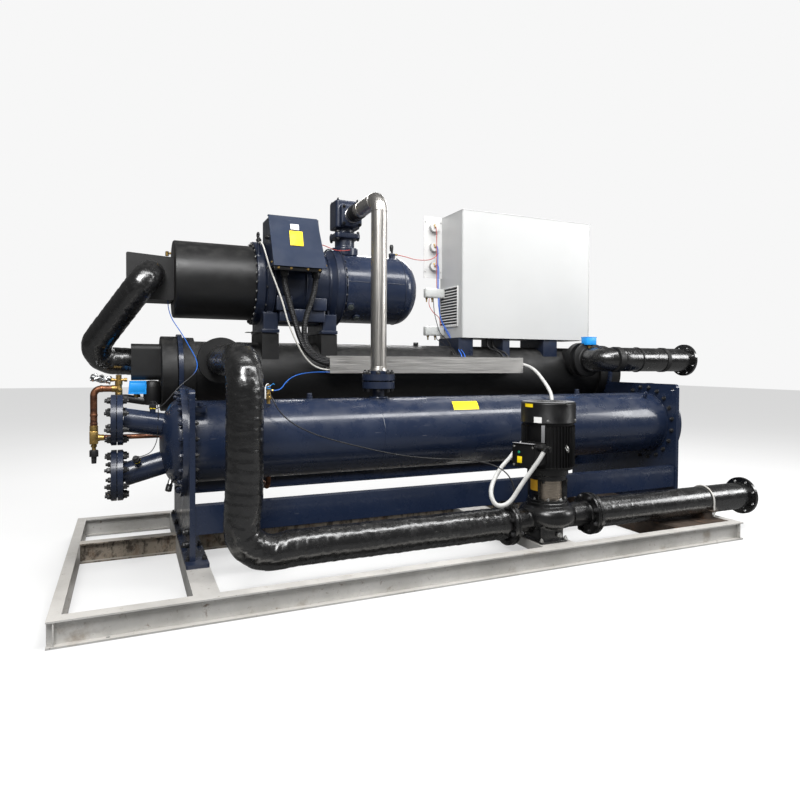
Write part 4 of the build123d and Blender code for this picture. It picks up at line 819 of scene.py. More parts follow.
# compressor: bolt circle of the motor end, both sides of the flange, and the separator flange
for p in circle_pts((0, 1620, 1885), (1, 0, 0), 294, 28, 4):
    B["zinc"].bolt((1190, p.y, p.z), (-1, 0, 0), 15, False, 3, 8)
    B["blackbolt"].cyl((1190.5, p.y, p.z), (-1, 0, 0), 14, 5, 20)
for p in circle_pts((0, 1620, 1885), (1, 0, 0), 303, 14, 10):
    B["blackbolt"].bolt((1252, p.y, p.z), (1, 0, 0), 15, True, 2)
for p in circle_pts((0, 1620, 1885), (1, 0, 0), 286, 26, 2):
    B["blackbolt"].bolt((1860, p.y, p.z), (1, 0, 0), 16, True, 3)
    B["zinc"].bolt((1797, p.y, p.z), (-1, 0, 0), 15, False, 3, 7)
# discharge neck on the condenser
for p in circle_pts((1952, 905, 0), (0, 0, 1), 94, 8, 22.5):
    B["blackbolt"].bolt((p.x, p.y, 1212), (0, 0, 1), 25, True, 12)
    B["blackbolt"].bolt((p.x, p.y, 1114), (0, 0, -1), 25, True, 8)
    B["blackbolt"].cyl((p.x, p.y, 1150), (0, 0, 1), 9, 30, 10)
# valve: corner bolts on each flange, side bolts round the outlet flange
for z, half, af in ((2277, 84, 19), (2317, 84, 19), (2572, 80, 17)):
    for sx in (-1, 1):
        for sy in (-1, 1):
            B["blackbolt"].bolt((1938 + sx * half, 1620 + sy * half, z), (0, 0, 1 if z > 2300 else -1), af, True, 5)
for sx in (-1, 1):
    for sz in (-1, 1):
        B["blackbolt"].bolt((1952 + sx * 66, 1480, 2446 + sz * 66), (0, -1, 0), 19, True, 7)
# pump flanges
for x, s in ((2626, 1), (2576, -1), (3242, -1), (3292, 1)):
    for p in circle_pts((0, 250, 255), (1, 0, 0), 122, 8, 22.5):
        B["blackbolt"].bolt((x, p.y, p.z), (s, 0, 0), 24, True, 6)
for p in circle_pts((2917, 250, 0), (0, 0, 1), 117, 8, 10):
    B["zinc"].bolt((p.x, p.y, 391), (0, 0, 1), 19, True, 6)
for p in circle_pts((2917, 250, 0), (0, 0, 1), 124, 4, 40):
    B["blackbolt"].bolt((p.x, p.y, 524), (0, 0, -1), 18, True, 4)
for sx, sy in ((-1, -1), (1, -1), (-1, 1), (1, 1)):
    B["zinc"].bolt((2872 + sx * 95, 220 + sy * 100, 142), (0, 0, 1), 20, True, 8)
# feet of the compressor on their saddles
for xf in (1300, 1748):
    for sx in (-1, 1):
        for y in (1422, 1818):
            B["zinc"].bolt((xf + sx * 32, y + (14 if y < 1600 else -14), 1536), (0, 0, 1), 22, True, 16)
# clamps of the end plates' feet
for x in (699.5, 4431.5):
    for y in (590, 880, 1200, 1500, 1800):
        for sx in (-1, 1):
            B["blackbolt"].bolt((x + sx * 47, y, 146), (0, 0, 1), 24, True, 12)
for k in B:
    B[k].make("bolts_" + k, k)

# ------------------------------------------------------------------ base frame: welds, stiffeners, patches
b = Build()
b.box((4478, 19, 63), (6, 30, 108), None, 0.8)
b.box((30, 19, 63), (6, 30, 108), None, 0.8)
b.box((4478, 1989, 63), (6, 30, 108), None, 0.8)
b.box((30, 1989, 63), (6, 30, 108), None, 0.8)
for x in (635, 765, 2758, 3010, 3917, 4448):
    b.tube(smooth_path([(x, 75, 20), (x, 76, 60), (x, 75, 118)], 14), 3.2, 8, lambda l, a, p: 3.0 + 0.9 * math.sin(l * 0.9))
b.make("frame_stiffeners", "galv", "galvanised")
b = Build()
for x0, z0, z1 in ((676, 30, 116), (2722, 96, 118), (4016, 46, 66), (1520, 22, 30), (3380, 88, 112)):
    pts = [(x0 + 2.0 * math.sin(k * 1.7), 34.2, z0 + (z1 - z0) * k / 9) for k in range(10)]
    b.tube(pts, 2.4, 8, lambda l, a, p: 2.2 + 0.8 * math.sin(l * 1.3))
b.make("frame_weld_marks", "galv", "galvanised")

# ------------------------------------------------------------------ condenser details
b = Build()
for x in (700, 4431):
    b.torus((x, 905, 797), (1, 0, 0), 254, 4.5, 72, 8)
for x in (1905, 3180):
    b.torus((x, 905, 797), (1, 0, 0), 251.5, 2.2, 72, 8)
b.torus((1952, 905, 1049), (0, 0, 1), 66, 5, 40, 8)
for xs, ang in ((760, -38), (4300, -30)):
    a = math.radians(ang)
    d = Vector((0, math.sin(a), math.cos(a)))
    p = Vector((xs, 905, 797)) + d * 250
    b.cyl(p, d, 17, 26, 20)
    b.hexa(p + d * 26, d, 30, 16)
    b.cyl(p + d * 42, d, 10, 14, 16)
b.make("condenser_welds_and_plugs", "navy", "navy")
b = Build()
# lifting eyes on top
for x in (1455, 3700):
    b.cyl((x, 905, 1040), (0, 0, 1), 20, 24, 24)
    b.hexa((x, 905, 1064), (0, 0, 1), 30, 22)
b.make("condenser_lugs", "navy2", "navy")
# blank yellow plate on the front shoulder of the shell
b = Build()
a0, a1 = -0.86, -0.52
n = 8
vv, ff = [], []
for i in range(n + 1):
    a = a0 + (a1 - a0) * i / n
    for x in (2462 + (i - 4) * 2.0, 2668 + (i - 4) * 2.0):
        vv.append(Vector((x, 905 + 252.9 * math.sin(a), 797 + 252.9 * math.cos(a))))
for i in range(n):
    ff.append((2 * i, 2 * i + 1, 2 * i + 3, 2 * i + 2))
b.add(vv, ff)
b.make("blank_plate_condenser", "yellow")
# drain of the left head with its black cap, and the plugs low on the left end plate
b = Build()
b.cyl((575, 800, 582), (-0.25, -0.45, -0.86), 15, 34, 18)
b.make("head_drain_stub", "zinc")
b = Build()
b.hexa(Vector((575, 800, 582)) + Vector((-0.25, -0.45, -0.86)) * 30, (-0.25, -0.45, -0.86), 36, 14)
b.cyl(Vector((575, 800, 582)) + Vector((-0.25, -0.45, -0.86)) * 43, (-0.25, -0.45, -0.86), 19, 26, 20, 3)
for z in (300, 226):
    b.cyl((662, 640, z), (-1, 0, 0), 20, 22, 20, 3)
    b.hexa((641, 640, z), (-1, 0, 0), 24, 12)
b.make("drain_caps", "blackpl", "black")
# sensor wells: hexagon caps, yellow thread tape
b = Build()
b.hexa((478, 885, 1010), (0, 0, 1), 40, 26)
b.cyl((478, 885, 1034), (0, 0, 1), 14, 18, 16)
w2 = Vector((-0.25, -0.75, 0.6)).normalized()
p2 = Vector((400, 850, 680)) + w2 * 46
b.hexa(p2, w2, 40, 24)
b.cyl(p2 + w2 * 22, w2, 14, 16, 16)
b.make("sensor_well_caps", "blackpl", "black")
b = Build()
b.torus((478, 885, 1009), (0, 0, 1), 18, 3.0, 24, 8)
b.torus(p2 - w2 * 2, w2, 18, 3.0, 24, 8)
b.make("thread_tape", "yellow")
b = Build()
b.tube(smooth_path([(478, 885, 1050), (496, 868, 1046), (508, 852, 1000), (504, 836, 900), (498, 826, 820), (470, 822, 760), (430, 826, 735),
                    tuple(p2 + w2 * 36)], 8), 2.4, 8)
b.make("well_link_tube", "cableblack", "cable_black")
# condenser fitting: brass cap, white tag, blue ties
b = Build()
b.lathe((1150, 760, 1098), (0, 0, 1), [(0, 8), (0, 13), (22, 13), (24, 10), (34, 10), (36, 15), (50, 15), (54, 8)], 20)
b.make("fitting_cap", "brass", "brass")
b = Build()
b.cyl((1128, 748, 1062), (0, 0, 1), 5, 72, 14, 2)
b.tube(smooth_path([(1128, 748, 1132), (1136, 750, 1152), (1148, 754, 1156)]), 2.6, 8)
b.make("fitting_tag", "whiteplate")
b = Build()
b.torus((1150, 760, 1126), (0.2, 0, 1), 14, 3, 20, 8)
b.torus((1150, 760, 1140), (-0.3, 0, 1), 16, 2.4, 20, 8)
b.tube(smooth_path([(1160, 752, 1142), (1176, 744, 1156), (1184, 742, 1150)]), 2.2, 8)
b.make("fitting_tie_blue", "blue", "blue")

# ------------------------------------------------------------------ pump
PX, PY = 2917, 250


def around(r, deg, z, cx=PX, cy=PY):
    a = math.radians(deg)
    return Vector((cx + r * math.cos(a), cy + r * math.sin(a), z))


def radial(deg):
    a = math.radians(deg)
    return Vector((math.cos(a), math.sin(a), 0))


def patch(b, r, a0, a1, z0, z1, cx=PX, cy=PY, n=8, t=1.2):
    rows = []
    for rr in (r, r + t):
        for z in (z0, z1):
            rows.append([around(rr, a0 + (a1 - a0) * k / n, z, cx, cy) for k in range(n + 1)])
    k0 = len(b.v)
    m = n + 1
    for row in rows:
        b.v.extend(row)
    for k in range(n):
        for p, q in ((0, 1), (1, 3), (3, 2), (2, 0)):
            b.f.append((k0 + p * m + k, k0 + p * m + k + 1, k0 + q * m + k + 1, k0 + q * m + k))
    b.f.append((k0, k0 + m, k0 + 3 * m, k0 + 2 * m))
    b.f.append((k0 + n, k0 + 2 * m + n, k0 + 3 * m + n, k0 + m + n))


b = Build()
b.lathe((PX, PY, 598), (0, 0, 1), [(0, 60), (0, 166), (2, 169), (16, 170), (19, 164), (288, 164), (290, 169), (306, 170), (307, 60)], 72)
for k in range(44):
    a = 360 / 44 * k
    if abs((a - 205 + 180) % 360 - 180) < 17:
        continue
    d = radial(a)
    b.box(around(169.5, a, 752), (13, 4.2, 268), (d, Vector((-d.y, d.x, 0)), Vector((0, 0, 1))), 1.6)
d = radial(222.8)
b.box(around(170, 222.8, 838), (16, 30, 122), (d, Vector((-d.y, d.x, 0)), Vector((0, 0, 1))), 3)
d = radial(205)
b.box(around(160, 205, 708), (36, 118, 150), (d, Vector((-d.y, d.x, 0)), Vector((0, 0, 1))), 4)
b.make("motor_body", "motor", "black", ("pump_motor",), 30)
b = Build()
b.lathe((PX, PY, 905), (0, 0, 1), [(4, 160), (-1, 179), (0, 181), (6, 181), (8, 179.5), (122, 179.5), (131, 176), (136, 168), (137, 158)], 96)
b.make("fan_cover", "motortop", "black")
b = Build()
# thin light grey disc on the fan cover's top face: painted highlight from the light above
b.lathe((PX, PY, 1041.6), (0, 0, 1), [(0, 170), (0.9, 158), (1.2, 60), (1.2, 0)], 96)
b.make("fan_cover_top", "painted_highlight", "black")
b = Build()
for r in (50, 72, 94, 116):
    b.torus((PX, PY, 1042.2), (0, 0, 1), r, 2.2, 72, 8)
b.make("fan_grille", "motor", "black")
b = Build()
patch(b, 179.8, 203, 220, 909, 947)
b.make("blank_plate_cover", "whiteplate")
b = Build()
patch(b, 179.8, 178, 200, 1008, 1030)
b.make("blank_plate_cover_amber", "yellow")
b = Build()
d = radial(222.8)
# thin light grey strip on the boss facing the key light: painted highlight
b.box(around(178.4, 222.8, 838), (1.2, 22, 112), (d, Vector((-d.y, d.x, 0)), Vector((0, 0, 1))), 0.4)
b.make("motor_boss_painted_highlight", "painted_highlight", "black")
b = Build()
for a in (232.6, 308, 52.6, 128):
    b.bolt(around(179, a, 924), radial(a), 12, True, 0, 5)
for k in range(4):
    b.bolt(around(128, 45 + 90 * k, 598), (0, 0, 1), 18, True, 0)
b.make("cover_screws", "zinc")
b = Build()
b.cyl((2928, 82, 748), (0, -1, 0), 10, 14, 16)
b.torus((2924, 58, 744), (0.9, -0.35, 0.2), 19, 5.5, 32, 12)
b.make("motor_eye", "zinc")

# lantern: ring, two legs, guard between them
b = Build()
b.lathe((PX, PY, 522), (0, 0, 1), [(0, 60), (0, 118), (4, 124), (30, 124), (34, 130), (38, 135), (72, 135), (75, 132), (76, 60)], 80)
b.lathe((PX, PY, 378), (0, 0, 1), [(0, 60), (0, 128), (3, 131), (14, 131), (17, 126), (22, 108), (22, 60)], 80)
for c0 in (175, 355):
    n = 10
    for k in range(n):
        a, a2 = math.radians(c0 - 33 + 66 * k / n), math.radians(c0 - 33 + 66 * (k + 1) / n)
        ring = [Vector((PX + r * math.cos(q), PY + r * math.sin(q), 0)) for q, r in ((a, 98), (a, 122), (a2, 122), (a2, 98))]
        b.prism([p + Vector((0, 0, 388)) for p in ring], (0, 0, 146))
    for q in (c0 - 31, c0 + 31):
        d = radial(q)
        b.box(around(112, q, 460), (34, 10, 142), (d, Vector((-d.y, d.x, 0)), Vector((0, 0, 1))), 3)
b.make("lantern", "blackcast", "black", ("pump_adapter",))
b = Build()
b.lathe((PX, PY, 396), (0, 0, 1), [(0, 93), (0, 95)] + [(t + dt, 95 + dr) for t in (18, 36, 54, 72, 90, 108) for dt, dr in ((-3, 0), (-1.5, -2.4), (1.5, -2.4), (3, 0))] + [(126, 95), (126, 93)], 72)
b.make("coupling_guard", "guard", "steel")
b = Build()
patch(b, 124.5, 172, 203, 455, 527)
b.make("blank_plate_lantern", "orange")

# casing: softened casting, drain plug, rim of the cover
soften("pump_casing", 0.0055, 9, "blackcast", "pump_casting")
b = Build()
b.lathe((PX, PY, 348), (0, 0, 1), [(0, 120), (0, 138), (2, 140), (26, 140), (29, 137), (29, 90)], 80)
b.torus((PX, PY, 352), (0, 0, 1), 139, 4, 72, 10)
for x in (2602, 3244):
    b.torus((x + 11, 250, 255), (1, 0, 0), 141, 3, 72, 8)
b.make("casing_cover", "blackcast", "black")
b = Build()
b.cyl((2908, 118, 178), (0, -1, 0), 15, 20, 20, 2)
b.hexa((2908, 98, 178), (0, -1, 0), 24, 12)
b.make("casing_drain_plug", "zinc")

# terminal box of the pump: lid line, screws, plug, blank plate
BN = Vector((-math.cos(math.radians(25)), -math.sin(math.radians(25)), 0))
BT = Vector((-BN.y, BN.x, 0))
BC = Vector((PX, PY, 708)) + BN * 322
UP = Vector((0, 0, 1))
b = Build()
b.box(BC - BN * 2, (150, 134, 8), (BT, UP, BN), 3)
b.box(BC - BN * 12 + UP * 76, (156, 8, 26), (BT, UP, BN), 2.5)
b.lathe(Vector((2737, 12, 756)) - BT * 8, BT, [(0, 14), (0, 22), (12, 22), (14, 19), (26, 19), (28, 14)], 24)
b.make("pump_box_lid", "motor", "black")
b = Build()
# thin light grey sheet on the box's top face: painted highlight from the light above
b.box(BC - BN * 2 + UP * 80.6, (150, 1.6, 30), (BT, UP, BN), 0.6)
b.make("pump_box_top_painted_highlight", "painted_highlight", "black")
b = Build()
for su in (-1, 1):
    for sv in (-1, 1):
        b.bolt(BC + BN * 2 + BT * 66 * su + UP * 58 * sv, BN, 10, True, 0, 4)
b.make("pump_box_screws", "zinc")
b = Build()
b.cyl(Vector((2613, 141, 731)) + BN * 1, BN, 8, 6, 18)
b.make("pump_box_plug", "green")
b = Build()
b.box(Vector((2614, 137, 684)) + BN * 2.4, (34, 42, 1.2), (BT, UP, BN), 0.4)
b.make("blank_plate_pump_box", "yellow")

# U-bolt over the discharge pipe
b = Build()
b.torus((4372, 250, 255), (1, 0, 0), 109, 6.5, 40, 12, 0, 180)
for s in (-1, 1):
    b.cyl((4372, 250 + s * 109, 150), (0, 0, 1), 6.5, 108, 14)
    b.bolt((4372, 250 + s * 109, 196), (0, 0, -1), 22, True)
b.make("pipe_clamp", "galv", "galvanised")
b = Build()
b.box((4372, 250, 193), (60, 250, 8), None, 1.5)
b.make("pipe_clamp_bar", "rust")

# ------------------------------------------------------------------ taped pipes on the right
wrapped("wrap_discharge", None, [(3294, 250, 255), (4790, 250, 255)], [], 104.5, 60, 0.55, 5.3, 88, 9.0)
wrapped("wrap_inlet", None, [(4080, 1288, 1333), (4080, 1000, 1333), (4984, 1000, 1333)], [200], 104.5, 62, 0.6, 2.2, 88, 8.0)
b = Build()
for x, r, w in ((4165, 109, 55), (4417, 110, 9), (4700, 109, 40)):
    b.lathe((x, 1000, 1333), (1, 0, 0), [(0, 100), (0, r - 1), (1, r), (w - 1, r), (w, r - 1), (w, 100)], 72)
b.lathe((4080, 1236, 1333), (0, -1, 0), [(0, 100), (0, 148), (3, 152), (22, 152), (26, 146), (30, 112), (38, 104)], 72)
b.make("pipe_insulation_steps", "foam", "insulation")

# ------------------------------------------------------------------ compressor
soften("compressor_body", 0.006, 7, "navy2", "compressor_casting")
soften("discharge_valve", 0.005, 6, "navy2", "valve_casting")
b = Build()
CA = (0, 1620, 1885)
for x, r in ((1265, 300), (1318, 299), (1330, 270), (1560, 265), (1740, 270), (1792, 303), (1852, 303)):
    b.torus((x, 1620, 1885), (1, 0, 0), r, 5, 96, 10)
b.box((1530, 1400, 1640), (350, 70, 96), None, 12)
b.box((1522, 1580, 1620), (350, 240, 90), None, 14)
b.box((1390, 1362, 1725), (120, 36, 110), None, 10)
b.box((1655, 1362, 1725), (110, 36, 96), None, 10)
for xf in (1300, 1748):
    for y in (1410, 1830):
        s = 1 if y < 1600 else -1
        b.prism([(xf - 7, y, 1530), (xf - 7, y + s * 130, 1530), (xf - 7, y + s * 130, 1760), (xf - 7, y + s * 24, 1690)], (14, 0, 0))
    b.box((xf, 1620, 1522), (128, 446, 26), None, 4)
b.make("compressor_ribs", "navy2", "navy")
b = Build()
for x in (1876, 2365):
    b.torus((x, 1620, 1885), (1, 0, 0), 272.5, 3.4 if x > 2000 else 6, 96, 8)
a = math.asin((1914 - 1885) / 272.0)
pts = [(x, 1620 - 272.4 * math.cos(a), 1885 + 272.4 * math.sin(a)) for x in range(1880, 2366, 18)]
b.tube(pts, 3, 8, lambda l, q, p: 2.6 + 0.6 * math.sin(l * 0.5))
for x, z in ((1913, 1726), (1987, 1652)):
    dz = z - 1885
    y = 1620 - math.sqrt(272 ** 2 - dz * dz)
    d = (Vector((0, y - 1620, dz))).normalized()
    b.cyl(Vector((x, y, z)) - d * 6, d, 34, 20, 28, 2)
b.cyl((2344, 1600, 2140), (0, 0, 1), 26, 34, 24)
b.box((2344, 1600, 2184), (46, 40, 26), None, 4)
b.make("separator_welds", "navy2", "navy")
b = Build()
for x, z in ((1913, 1726), (1987, 1652)):
    dz = z - 1885
    y = 1620 - math.sqrt(272 ** 2 - dz * dz)
    d = (Vector((0, y - 1620, dz))).normalized()
    b.hexa(Vector((x, y, z)) + d * 13, d, 46, 9)
    b.cyl(Vector((x, y, z)) + d * 21, d, 15, 2, 20, 0.4)
b.make("sight_glasses", "glass")
b = Build()
b.cyl((2344, 1600, 2196), (0, 0, 1), 9, 22, 14)
b.lathe((2340, 1600, 2216), (0, 0, 1), [(0, 8), (0, 13), (24, 16), (40, 16), (52, 11), (54, 6)], 20)
b.cyl((1254, 1350, 2193), (1, 0, 0), 17, 30, 18)
b.cyl((1245, 1350, 2193), (1, 0, 0), 12, 50, 18)
b.lathe((1206, 1372, 2160), (0, 0, 1), [(0, 15), (0, 19), (16, 19), (20, 14), (28, 12)], 20)
b.make("service_valve_caps", "blackpl", "black")
b = Build()
b.cyl((2366, 1600, 2190), (1, 0, 0), 8, 26, 14)
b.cyl((595, 1500, 2030), (0, 0, 1), 12, 26, 16)
b.hexa((595, 1500, 2052), (0, 0, 1), 22, 10)
b.cyl((612, 1478, 2044), (0, -1, 0), 7, 24, 12)
b.make("brass_ports", "brass", "brass")
b = Build()
b.torus((1216, 1450, 2222), (1, 0.2, 0), 17, 6, 32, 10)
b.cyl((1216, 1450, 2176), (0, 0, 1), 9, 32, 14)
b.make("lifting_eye", "blackbolt", "black")
b = Build()
b.tube(smooth_path([(1640, 1320, 2150), (1664, 1310, 2161), (1730, 1340, 2150), (1788, 1400, 2150), (1860, 1450, 2158), (1943, 1500, 2178)]), 3.2, 8)
b.make("capillary_orange", "red")
b = Build()
b.tube(smooth_path([(2388, 1600, 2190), (2476, 1630, 2186), (2597, 1670, 2176), (2717, 1700, 2186), (2800, 1735, 2215), (2852, 1745, 2262)]), 3.2, 8)
b.tube(smooth_path([(2815, 1748, 2490), (2828, 1746, 2478), (2832, 1744, 2380), (2833, 1742, 2180), (2834, 1742, 2000), (2840, 1744, 1930)]), 3.2, 8)
b.tube(smooth_path([(2760, 1738, 1862), (2756, 1730, 1800), (2790, 1722, 1740), (2850, 1720, 1690), (2866, 1722, 1622)]), 3.0, 8)
b.make("capillaries_red", "red")
b = Build()
b.tube(smooth_path([(2815, 1748, 2320), (2840, 1742, 2312), (2843, 1740, 2200), (2842, 1738, 2000), (2846, 1736, 1880), (2852, 1734, 1790),
                    (2873, 1728, 1674), (2898, 1660, 1560), (2910, 1560, 1468), (2890, 1430, 1400), (2860, 1330, 1352), (2850, 1305, 1290)]), 3.6, 8)
b.tube(smooth_path([(2815, 1748, 2152), (2850, 1740, 2142), (2852, 1738, 2000), (2856, 1734, 1850), (2868, 1728, 1700), (2905, 1650, 1560),
                    (2925, 1560, 1470), (2915, 1430, 1402), (2890, 1330, 1354), (2882, 1305, 1290)]), 3.0, 8)
b.make("capillaries_blue", "bluewire")
b = Build()
b.tube(smooth_path([(2800, 1738, 1862), (2800, 1726, 1780), (2812, 1722, 1700), (2850, 1700, 1560), (2880, 1600, 1480), (2840, 1450, 1400),
                    (2820, 1330, 1350), (2816, 1300, 1290)]), 3.4, 8)
b.tube(smooth_path([(2830, 1738, 1530), (2832, 1720, 1500), (2860, 1660, 1466), (2850, 1500, 1402), (2790, 1345, 1360), (2780, 1305, 1290)]), 3.4, 8)
b.make("capillaries_black", "cableblack")

# terminal box of the compressor: leaning lid, lip, screws, glands
LN = Vector((0, -366, 125)).normalized()
LU = Vector((0, 125, 366)).normalized()
b = Build()
k = [Vector(p) for p in ((1272, 1165, 1966), (1652, 1165, 1966), (1614, 1291, 2341), (1256, 1291, 2341))]
b.prism([q - LN * 4 for q in k], LN * 7)
b.prism([k[3] - LN * 4, k[2] - LN * 4, k[2] - LN * 24 + LU * 2, k[3] - LN * 24 + LU * 2], LU * 5)
# the lid takes the lighter navy copy: painted light
b.make("compressor_box_lid", "lid", "navy")
b = Build()
b.box((1450, 1192, 1954), (340, 34, 30), None, 2)
b.box((1450, 1290, 1968), (336, 190, 8), None, 2)
for x, y in ((1369, 1270), (1602, 1270)):
    b.hexa((x, y, 1944), (0, 0, 1), 66, 18)
    b.lathe((x, y, 1908), (0, 0, 1), [(0, 23), (0, 27), (12, 30), (34, 31), (38, 26)], 28)
b.make("compressor_box_underside", "blackcast", "black")
b = Build()
for x in (1306, 1396, 1518, 1604):
    b.bolt((x, 1175, 1954), (0, -1, 0), 12, True, 0, 6)
b.bolt((1262, 1180, 1990), (-1, 0, 0), 12, True, 0, 6)
b.bolt((1650, 1182, 1990), (1, 0, 0), 12, True, 0, 6)
b.make("compressor_box_screws", "brass", "brass")
b = Build()
c = Vector((1446, 1234, 2176))
b.box(c + LN * 5.2, (96, 116, 1.2), (Vector((1, 0, 0)), LU, LN), 0.4)
b.make("blank_plate_compressor_box", "yellow")
b = Build()
c = Vector((1440, 1263, 2262))
b.box(c + LN * 5.2, (62, 44, 1.2), (Vector((1, 0, 0)), LU, LN), 0.4)
b.make("blank_plate_compressor_box_white", "whiteplate")

# discharge pipe: rubber collar, weld rings, foot ring
b = Build()
b.lathe((1952, 1392, 2446), (0, -1, 0), [(0, 56), (0, 61), (3, 63), (88, 63), (91, 61), (91, 56)], 40)
b.lathe((1952, 1420, 2446), (0, -1, 0), [(0, 56), (0, 64), (24, 66), (26, 56)], 40)
b.make("discharge_collar", "rubber", "black")
b = Build()
for p, ax in (((1952, 1000, 2446), (0, 1, 0)), ((1952, 1240, 2446), (0, 1, 0)), ((1952, 905, 2351), (0, 0, 1)), ((1952, 905, 1262), (0, 0, 1)), ((1952, 1476, 2446), (0, 1, 0))):
    b.torus(p, ax, 55.8, 2.6, 48, 8)
b.lathe((1952, 905, 1214), (0, 0, 1), [(0, 58), (0, 66), (20, 64), (44, 59), (46, 55)], 40)
b.make("discharge_weld_rings", "steelpipe", "steel")

# ------------------------------------------------------------------ cabinet, gauges, switches
b = Build()
b.box((3584.5, 1620, 2583), (1350, 404, 6), None, 1.5)
b.box((3584.5, 1834, 2047), (1330, 4, 1060), None, 1.5)
for x0, x1 in ((2926, 3578), (3591, 4243)):
    b.box(((x0 + x1) / 2, 1842, 2047), (x1 - x0, 20, 1046), None, 4)
b.box((2913, 1430, 2047), (6, 10, 1060), None, 1)
b.box((4257, 1620, 1900), (6, 300, 320), None, 2)
for x in (2919, 4250):
    b.box((x, 1418.8, 2047), (5, 3, 1062), None, 1)
b.make("cabinet_doors", "white", "cabinet")
b = Build()
for k in range(13):
    z = 1630 + k * 24.6
    b.prism([(2910.5, 1500, z), (2901, 1500, z - 9), (2901, 1500, z - 11), (2910.5, 1500, z - 3)], (0, 300, 0))
    b.prism([(4258.5, 1500, z + 110), (4267, 1500, z + 101), (4267, 1500, z + 99), (4258.5, 1500, z + 107)], (0, 240, 0))
for z in (1612, 1946):
    b.box((2906, 1650, z), (12, 320, 10), None, 1.5)
for y in (1490, 1810):
    b.box((2906, y, 1779), (12, 10, 344), None, 1.5)
b.make("cabinet_louvres", "panel", "casing_grey")
b = Build()
b.box((2910.4, 1650, 1779), (1.4, 310, 330), None, 0.3)
for x in (3555, 3614):
    b.box((x, 1858, 2047), (22, 22, 130), None, 4)
    b.cyl((x, 1868, 2010), (0, 1, 0), 9, 6, 16)
b.make("cabinet_handles", "blackpl", "black")
b = Build()
b.box((3250, 1853, 2330), (200, 2, 110), None, 0.5)
b.make("blank_plate_cabinet", "whiteplate")
b = Build()
for zg in (2490, 2318, 2150):
    b.lathe((2822, 1800, zg), (0, 1, 0), [(0, 30), (0, 42), (26, 42), (30, 39), (30, 36)], 44)
    b.lathe((2822, 1796, zg), (0, -1, 0), [(0, 30), (0, 39), (34, 38), (40, 33), (41, 8), (44, 6)], 40)
for z in (2100, 2540):
    for x in (2745, 2899):
        b.bolt((x, 1796, z), (0, -1, 0), 9, True, 0, 4)
b.make("gauge_cases", "zinc")
b = Build()
for zg in (2490, 2318, 2150):
    b.cyl((2822, 1828.5, zg), (0, 1, 0), 36.5, 1.2, 40, 0.2)
b.make("gauge_dials", "dial")
b = Build()
for zg in (2490, 2318, 2150):
    b.prism([(2816, 1830.4, zg - 8), (2828, 1830.4, zg - 2), (2806, 1830.4, zg + 26)], (0, 0.8, 0))
b.make("gauge_needles", "blackpl")
b = Build()
for zg in (2490, 2318, 2150):
    b.hexa((2822, 1756, zg), (0, -1, 0), 17, 9)
    b.cyl((2818, 1750, zg), (-0.3, -0.9, 0.1), 5.5, 14, 12)
    b.hexa((2812, 1750, zg + 12), (0.3, 0, 1), 12, 12)
for x, z in ((2745, 1868), (2800, 1868), (2760, 1535), (2830, 1535)):
    b.hexa((x, 1760, z), (0, 0, -1), 18, 14)
    b.cyl((x, 1760, z - 12), (0, 0, -1), 6, 26, 12)
b.make("gauge_fittings", "brass", "brass")
b = Build()
for zs, x0, x1 in ((1908, 2721, 2911), (1575, 2721, 2911)):
    b.box(((x0 + x1) / 2, 1754, zs), (x1 - x0 - 2, 50, 80), None, 6)
    b.box(((x0 + x1) / 2, 1729, zs), (x1 - x0 - 14, 6, 66), None, 3)
    for k in (-1, 1):
        b.cyl(((x0 + x1) / 2 + k * 50, 1754, zs + 38), (0, 0, 1), 11, 8, 18)
b.make("switch_boxes", "clear", "casing_grey", ("pressure_switches",))

# ------------------------------------------------------------------ brass and copper parts on the left
LY = 1480
b = Build()
b.box((132, LY, 780), (52, 52, 88), None, 5)
b.cyl((132, LY, 822), (0, 0, 1), 26, 38, 28, 2)
b.lathe((158, LY, 778), (1, 0, 0), [(0, 20), (0, 24), (8, 24), (9, 21), (34, 21), (36, 19)], 28)
b.cyl((132, LY, 690), (0, 0, 1), 13, 50, 20)
b.hexa((132, LY, 716), (0, 0, 1), 36, 16)
b.cyl((132, LY - 25, 752), (0, -1, 0), 5, 4, 12)
b.make("angle_valve_brass", "brass", "brass", ("liquid_angle_valve",))
b = Build()
b.lathe((132, LY, 606), (0, 0, 1), [(0, 12), (0, 15), (44, 17), (48, 25), (84, 27), (90, 24), (92, 14)], 28)
for k in range(12):
    d = radial(30 * k)
    b.box(Vector((132, LY, 672)) + d * 25.5, (4, 5, 42), (d, Vector((-d.y, d.x, 0)), UP), 1)
b.make("angle_valve_cap", "blackpl", "black")
b = Build()
for z in (872, 930):
    b.lathe((132, LY, z - 9), (0, 0, 1), [(0, 22.5), (3, 24), (15, 24), (18, 22.5)], 32)
b.lathe((170, LY, 1107), (1, 0, 0), [(0, 22.4), (3, 24), (15, 24), (18, 22.4)], 32)
for x in (196, 640, 720):
    b.lathe((x, LY, 778), (1, 0, 0), [(0, 17.2), (3, 19), (15, 19), (18, 17.2)], 28)
b.make("solder_joints", "copper", "copper")
b = Build()
b.lathe((285, LY, 1010), (0, 0, 1), [(0, 15), (0, 20), (40, 20), (44, 23), (70, 23), (74, 20), (120, 20), (124, 24), (150, 24), (154, 18), (190, 18), (190, 10)], 28)
b.hexa((285, LY, 1080), (0, 0, 1), 46, 28)
b.cyl((240, LY, 1107), (1, 0, 0), 24, 36, 24, 2)
b.cyl((236, LY, 1166), (1, 0, 0), 9, 98, 16)
b.cyl((232, LY, 1166), (1, 0, 0), 12, 24, 16)
b.cyl((318, LY, 1166), (1, 0, 0), 13, 20, 16)
b.cyl((398, LY, 1046), (0, 0, 1), 18, 34, 22)
